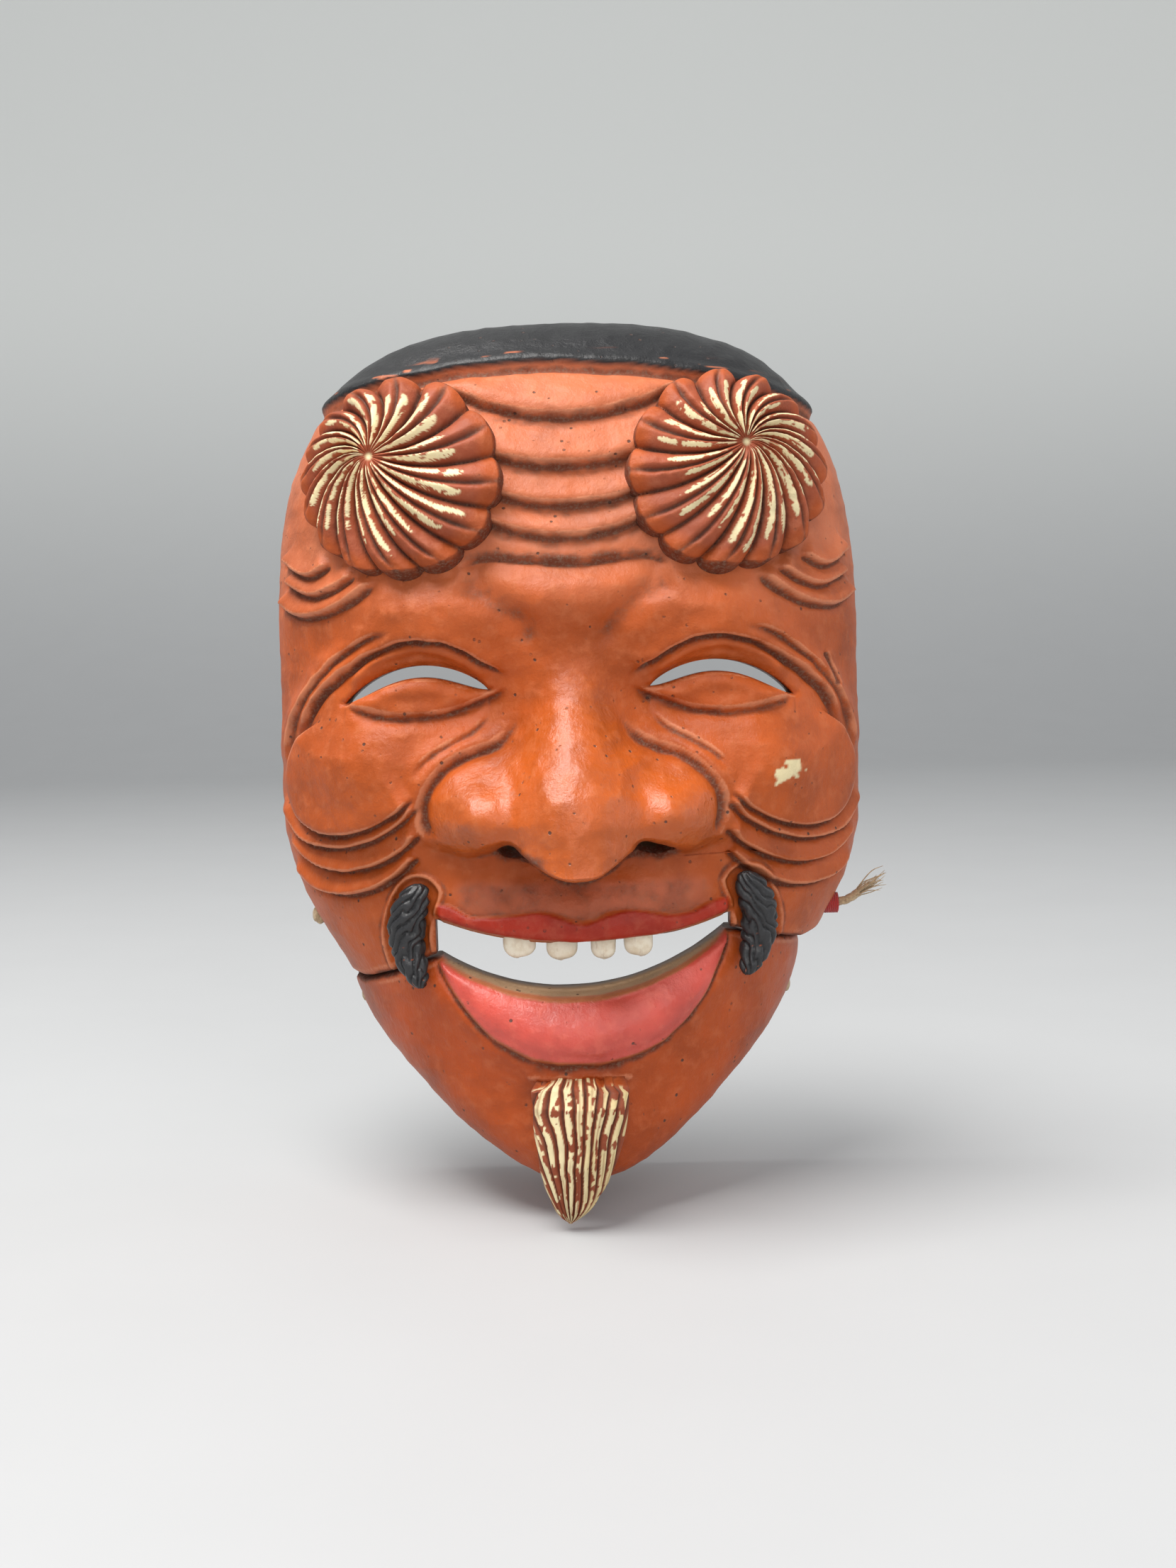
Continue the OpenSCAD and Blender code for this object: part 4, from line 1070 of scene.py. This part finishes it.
def twisted(name, route, side, strands=3, turns_per_mm=0.16, sides=24, steps=7, ridge=0.2):
    """A twisted cord along a route of points with radii."""
    p = spline([q[:3] for q in route], steps)
    radius = spline([(q[3], 0) for q in route], steps)[:, 0]
    length = np.concatenate([[0], np.cumsum(np.linalg.norm(np.diff(p, axis=0), axis=1))])
    fine = np.linspace(0, length[-1], int(length[-1] / 0.25) + 2)
    p = np.stack([np.interp(fine, length, p[:, k]) for k in range(3)], axis=1)
    radius = np.interp(fine, length, radius)
    t = np.gradient(p, axis=0)
    t /= np.linalg.norm(t, axis=1, keepdims=True)
    u = np.tile([0.0, 1.0, 0.0], (len(p), 1))
    u -= (u * t).sum(1, keepdims=True) * t
    u /= np.linalg.norm(u, axis=1, keepdims=True)
    v = np.cross(t, u)
    a = np.linspace(0, 2 * np.pi, sides, endpoint=False)
    lay_angle = strands * a[None, :] - 2 * np.pi * strands * turns_per_mm * fine[:, None]
    r = radius[:, None] * (1 - ridge + ridge * np.abs(np.cos(lay_angle / 2)) ** 0.7)
    around = np.cos(a)[None, :, None] * u[:, None] + np.sin(a)[None, :, None] * v[:, None]
    points = (p[:, None] + r[..., None] * around).reshape(-1, 3)
    points = np.vstack([points, p[:1], p[-1:]])
    points[:, 0] *= side
    return make_mesh(name, points, tube_faces(len(p), sides, flip=side < 0))


def joined(name, objects):
    bpy.ops.object.select_all(action="DESELECT")
    for obj in objects:
        obj.select_set(True)
    bpy.context.view_layer.objects.active = objects[0]
    bpy.ops.object.join()
    objects[0].name = name
    return objects[0]


def jaw_tie(side):
    name = "jaw_tie_" + ("left" if side < 0 else "right") + "_twisted"
    tie = twisted(name, tie_route(side), side)
    if side < 0:
        return tie
    rand = np.random.default_rng(12)
    fibres = []
    for _ in range(TAIL_FIBRES):
        spread = rand.normal(size=2)
        start = np.array([CHEEK_X + 6.5, HOLE_Y, TIE_TOP + 2.0]) + 0.35 * np.array([0, spread[0], spread[1]])
        reach = 5.0 + 3.2 * rand.random()
        tip = start + np.array([reach, 1.1 * spread[0] + 0.6, 0.62 * reach + 1.2 * spread[1] - 0.6])
        bend = 0.5 * (start + tip) + rand.normal(size=3) * 0.5 + np.array([0, 0, 0.5])
        route = [(*start, 0.16), (*bend, 0.14), (*tip, 0.05)]
        fibres.append(twisted("fibre", route, 1, strands=2, sides=6, steps=6, ridge=0.0))
    return joined(name, [tie] + fibres)


def binding():
    """Red thread wound round the right tie in nine turns."""
    turns, rows, cols = 9, 163, 72
    start, length, outer = CHEEK_X - 2.1, 4.4, 2.6
    u = np.linspace(0, 1, rows)[:, None]
    a = np.linspace(0, 2 * np.pi, cols, endpoint=False)[None, :]
    f = turns * u - a / (2 * np.pi)
    f = f - np.floor(f)
    bulge = np.sqrt(np.maximum(0, 1 - (2 * f - 1) ** 2))
    radius = (outer - 0.26) + 0.26 * bulge
    ends = smooth(u / 0.04) * smooth((1 - u) / 0.04)
    radius = 1.2 + (radius - 1.2) * (0.35 + 0.65 * ends)
    x = start + length * u + 0 * a
    points = xyz(x, HOLE_Y + radius * np.cos(a), TIE_TOP + radius * np.sin(a))
    points = np.vstack([points, [[start, HOLE_Y, TIE_TOP], [start + length, HOLE_Y, TIE_TOP]]])
    return make_mesh("binding_wound", points, tube_faces(rows, cols))


# ---- Materials ---------------------------------------------------------------

class Shader:
    """A node material in a few words."""

    def __init__(self, name):
        self.mat = bpy.data.materials.new(name)
        self.mat.use_nodes = True
        self.nodes, self.links = self.mat.node_tree.nodes, self.mat.node_tree.links
        self.nodes.clear()
        self.bsdf = self.nodes.new("ShaderNodeBsdfPrincipled")
        out = self.nodes.new("ShaderNodeOutputMaterial")
        self.links.new(self.bsdf.outputs[0], out.inputs[0])
        self.coords = self.nodes.new("ShaderNodeTexCoord").outputs["Object"]

    def put(self, value, socket):
        if isinstance(value, bpy.types.NodeSocket):
            self.links.new(value, socket)
        elif isinstance(value, (tuple, list, np.ndarray)):
            socket.default_value = (*[float(v) for v in value], 1.0)[:len(socket.default_value)]
        else:
            socket.default_value = value

    def attribute(self, name):
        node = self.nodes.new("ShaderNodeAttribute")
        node.attribute_name = name
        return node.outputs["Color"]

    def split(self, colour):
        node = self.nodes.new("ShaderNodeSeparateColor")
        self.put(colour, node.inputs[0])
        return node.outputs

    def stretched(self, scale):
        node = self.nodes.new("ShaderNodeMapping")
        self.links.new(self.coords, node.inputs[0])
        node.inputs["Scale"].default_value = scale
        return node.outputs[0]

    def noise(self, size_mm, detail=4.0, rough=0.55, stretch=None):
        node = self.nodes.new("ShaderNodeTexNoise")
        self.links.new(self.stretched(stretch) if stretch else self.coords, node.inputs["Vector"])
        node.inputs["Scale"].default_value = 1000.0 / size_mm
        node.inputs["Detail"].default_value = detail
        node.inputs["Roughness"].default_value = rough
        return node.outputs[0]

    def cells(self, size_mm):
        node = self.nodes.new("ShaderNodeTexVoronoi")
        self.links.new(self.coords, node.inputs["Vector"])
        node.inputs["Scale"].default_value = 1000.0 / size_mm
        return node.outputs["Distance"]

    def maths(self, kind, a, b=0.0, c=0.0):
        node = self.nodes.new("ShaderNodeMath")
        node.operation = kind
        for value, socket in zip((a, b, c), node.inputs):
            self.put(value, socket)
        return node.outputs[0]

    def step(self, value, low, high, to_low=0.0, to_high=1.0):
        node = self.nodes.new("ShaderNodeMapRange")
        node.interpolation_type = "SMOOTHSTEP"
        for value, socket in zip((value, low, high, to_low, to_high), node.inputs):
            self.put(value, socket)
        return node.outputs[0]

    def mix(self, a, b, amount, kind="MIX"):
        node = self.nodes.new("ShaderNodeMix")
        node.data_type = "RGBA"
        node.blend_type = kind
        self.put(amount, node.inputs[0])
        self.put(a, node.inputs[6])
        self.put(b, node.inputs[7])
        return node.outputs[2]

    def bumps(self, *layers):
        """Bump from layers of (height, depth in millimetres)."""
        normal = None
        for height, depth in layers:
            node = self.nodes.new("ShaderNodeBump")
            node.inputs["Strength"].default_value = 1.0
            node.inputs["Distance"].default_value = depth * MM
            self.put(height, node.inputs["Height"])
            if normal is not None:
                self.links.new(normal, node.inputs["Normal"])
            normal = node.outputs[0]
        self.links.new(normal, self.bsdf.inputs["Normal"])


def carved_paint(name, rough=0.55, gloss=0.32, dust=(0.20, 0.125, 0.085), specks=0.9, mottle=0.28):
    """Old paint over carved wood: colour, dirt with painted shade and wear with painted highlight come from
    the mesh, the fine grain from noise.
    """
    m = Shader(name)
    paint = m.attribute("paint")
    grime_and_shade, wear_and_highlight, shine = m.split(m.attribute("marks"))[:3]
    broad, patch, fine = m.noise(14.0, 3.0), m.noise(3.2, 5.0, 0.6), m.noise(0.7, 6.0, 0.65)
    strokes = m.noise(1.2, 4.0, 0.6, stretch=(1.0, 1.0, 0.35))
    colour = m.mix(paint, (0.0, 0.0, 0.0), m.step(broad, 0.35, 0.75, 0.0, mottle))
    faded = m.maths("MULTIPLY", m.step(patch, 0.45, 0.75, 0.0, 0.6), m.step(m.split(paint)[0], 0.03, 0.2))
    colour = m.mix(colour, m.mix(paint, (1.0, 0.62, 0.36), 0.075), faded)
    # The wear mark lightens the paint: worn paint, and painted highlight on crests.
    worn_and_highlit = m.step(m.maths("ADD", wear_and_highlight, m.maths("MULTIPLY", m.maths("SUBTRACT", fine, 0.5), 0.9)), 0.3, 0.95)
    colour = m.mix(colour, m.mix(paint, (0.74, 0.34, 0.19), 0.42), m.maths("MULTIPLY", worn_and_highlit, 0.85))
    # The grime mark darkens the paint: real dirt, and painted shade in hollows and grooves.
    dirty_and_shaded = m.maths("ADD", grime_and_shade, m.maths("MULTIPLY", m.maths("SUBTRACT", patch, 0.5), 0.8))
    dirty_and_shaded = m.step(dirty_and_shaded, 0.15, 0.85)
    dark = m.mix(colour, (0.25, 0.17, 0.14), 0.96, kind="MULTIPLY")
    colour = m.mix(colour, dark, m.maths("MULTIPLY", dirty_and_shaded, 0.9))
    dusty = m.maths("MULTIPLY", dirty_and_shaded, m.step(fine, 0.44, 0.68, 0.08, 0.7))
    colour = m.mix(colour, dust, dusty)
    pits = m.step(m.cells(2.6), 0.1, 0.19, 1.0, 0.0)
    pits = m.maths("MULTIPLY", pits, m.step(patch, 0.5, 0.62, 0.0, specks))
    colour = m.mix(colour, (0.06, 0.03, 0.022), pits)
    m.put(colour, m.bsdf.inputs["Base Color"])
    roughness = m.maths("SUBTRACT", rough, m.maths("MULTIPLY", shine, gloss))
    roughness = m.maths("ADD", roughness, m.maths("MULTIPLY", dirty_and_shaded, 0.3))
    roughness = m.maths("ADD", roughness, m.maths("MULTIPLY", m.maths("SUBTRACT", patch, 0.5), 0.22))
    m.put(roughness, m.bsdf.inputs["Roughness"])
    m.put(m.step(shine, 0.3, 0.75, 0.24, 0.5), m.bsdf.inputs["Specular IOR Level"])
    m.bumps((patch, 0.30), (strokes, 0.14), (fine, 0.09), (pits, -0.2))
    return m.mat


def tooth_paint():
    m = Shader("tooth_paint")
    patch, fine = m.noise(1.8, 4.0), m.noise(0.5, 5.0)
    streaks = m.noise(1.0, 3.0, stretch=(1.0, 1.0, 0.25))
    colour = m.mix((0.80, 0.73, 0.58), (0.62, 0.50, 0.33), m.step(patch, 0.4, 0.75, 0.0, 0.7))
    colour = m.mix(colour, (0.34, 0.22, 0.13), m.step(streaks, 0.55, 0.8, 0.0, 0.5))
    m.put(colour, m.bsdf.inputs["Base Color"])
    m.put(m.step(fine, 0.3, 0.7, 0.3, 0.5), m.bsdf.inputs["Roughness"])
    m.bumps((patch, 0.15), (fine, 0.04))
    return m.mat


def fibre(name, light, dark, size=0.5):
    m = Shader(name)
    strands, fuzz = m.noise(size, 5.0, 0.7, stretch=(1.0, 2.2, 0.6)), m.noise(0.25, 3.0)
    m.put(m.mix(light, dark, m.step(strands, 0.35, 0.7)), m.bsdf.inputs["Base Color"])
    m.put(m.step(fuzz, 0.2, 0.8, 0.75, 0.95), m.bsdf.inputs["Roughness"])
    m.bsdf.inputs["Sheen Weight"].default_value = 0.3
    m.bumps((strands, 0.12), (fuzz, 0.05))
    return m.mat


def wear_material(piece, material):
    piece.data.materials.clear()
    piece.data.materials.append(material)


# ---- Camera, light and stage -------------------------------------------------

CAMERA_PLACE, CAMERA_AIM, CAMERA_ROLL = (0, -0.44896, 0.01195), (0, -0.025, -0.0177), -1.35
SENSOR_MM, LENS_MM, SHIFT_X, FAR = 36.0, 54.25, 0.0142, 50


def camera():
    data = bpy.data.cameras.new("camera")
    data.sensor_fit = "HORIZONTAL"
    data.sensor_width = SENSOR_MM
    data.lens = LENS_MM
    data.shift_x = SHIFT_X
    data.clip_end = FAR
    cam = bpy.data.objects.new("camera", data)
    bpy.context.scene.collection.objects.link(cam)
    cam.location = CAMERA_PLACE
    look = Vector(CAMERA_AIM) - cam.location
    turn = look.to_track_quat("-Z", "Y")
    cam.rotation_euler = turn.to_euler()
    cam.rotation_euler.rotate_axis("Z", math.radians(CAMERA_ROLL))
    bpy.context.scene.camera = cam


def area_light(name, place, aim, size, watts, colour=(1, 1, 1)):
    data = bpy.data.lights.new(name, "AREA")
    data.shape = "RECTANGLE"
    data.size, data.size_y = size
    data.energy = watts
    data.color = colour
    light = bpy.data.objects.new(name, data)
    bpy.context.scene.collection.objects.link(light)
    light.location = place
    light.rotation_euler = (Vector(aim) - Vector(place)).to_track_quat("-Z", "Y").to_euler()


FLOOR_Z = -0.1175
SWEEP_START, SWEEP_R, STAGE_HALF, STAGE_FRONT, STAGE_TOP = 1.6, 1.2, 6.0, -2.0, 5.0


def stage():
    """A pale floor that sweeps up into a grey wall far behind the mask; the wall glows more toward the top,
    as painted light.
    """
    turns = np.linspace(0, np.pi / 2, 40)
    profile = [(STAGE_FRONT, 0.0)]
    profile += [(SWEEP_START + SWEEP_R * math.sin(t), SWEEP_R * (1 - math.cos(t))) for t in turns]
    profile.append((SWEEP_START + SWEEP_R, STAGE_TOP))
    points = [(x / MM, y / MM, (FLOOR_Z + z) / MM) for y, z in profile for x in (-STAGE_HALF, STAGE_HALF)]
    sweep = make_mesh("floor_sweep", points, grid_quads(len(profile), 2, flip=True))
    m = Shader("studio_grey")
    height = m.nodes.new("ShaderNodeSeparateXYZ")
    m.links.new(m.coords, height.inputs[0])
    raised = m.step(height.outputs[2], FLOOR_Z, FLOOR_Z + 0.9)
    floor = m.mix((0.43, 0.435, 0.44), (0.41, 0.415, 0.42), m.noise(60.0, 3.0))
    m.put(m.mix(floor, (0.40, 0.41, 0.40), raised), m.bsdf.inputs["Base Color"])
    m.bsdf.inputs["Roughness"].default_value = 0.6
    m.bsdf.inputs["Emission Color"].default_value = (0.95, 0.97, 0.94, 1)
    # The sweep glows more the higher it rises: painted light on the wall.
    glow = m.step(height.outputs[2], FLOOR_Z - 0.1, FLOOR_Z + 0.9, 0.0, 0.33)
    m.put(glow, m.bsdf.inputs["Emission Strength"])
    wear_material(sweep, m.mat)


def lights():
    world = bpy.data.worlds.new("studio")
    world.use_nodes = True
    world.node_tree.nodes["Background"].inputs[0].default_value = (0.86, 0.88, 0.92, 1)
    world.node_tree.nodes["Background"].inputs[1].default_value = 0.55
    bpy.context.scene.world = world
    bpy.context.scene.view_settings.view_transform = "Standard"
    area_light("ceiling", (-0.4, -0.35, 1.25), (0, -0.03, 0), (1.0, 0.7), 32, (1.0, 0.985, 0.96))
    area_light("front", (0.25, -1.3, 0.6), (0, 0, -0.02), (1.2, 0.9), 6.8, (1.0, 0.98, 0.96))
    area_light("side", (1.2, -0.1, 0.35), (0, -0.02, 0), (0.5, 0.8), 2.4, (0.97, 0.98, 1.0))


# ---- Putting it together -----------------------------------------------------

def add_piece(piece, body, node, material):
    wear_material(piece, material)
    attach(piece, body)
    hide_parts(node)


camera()
wood = carved_paint("vermilion_paint")
brow = carved_paint("brow_paint", rough=0.6, gloss=0.2, specks=0.3)
soot = carved_paint("black_paint", rough=0.6, gloss=0.35, dust=(0.06, 0.05, 0.045), specks=0.0, mottle=0.1)
beard = carved_paint("beard_paint", rough=0.62, gloss=0.2, specks=0.3)
ivory = tooth_paint()
hemp = fibre("hemp_cord", (0.52, 0.38, 0.22), (0.30, 0.20, 0.11))
red = fibre("red_thread", (0.50, 0.035, 0.03), (0.28, 0.012, 0.012), 0.4)

add_piece(upper_mask(), "mask", "upper_mask", wood)
add_piece(lower_jaw(), "jaw", "lower_jaw", wood)
for side, word in ((-1, "left"), (1, "right")):
    add_piece(brow_tuft(side), "mask", "brow_tuft_" + word, brow)
    add_piece(moustache(side), "mask", "moustache_" + word, soot)
    add_piece(jaw_tie(side), "mask", "jaw_tie_" + word, hemp)
add_piece(beard_tuft(), "jaw", "beard_tuft", beard)
for k in range(4):
    add_piece(tooth(k), "mask", "tooth_%d" % (k + 1), ivory)
add_piece(binding(), "mask", "tie_binding", red)
stage()
lights()
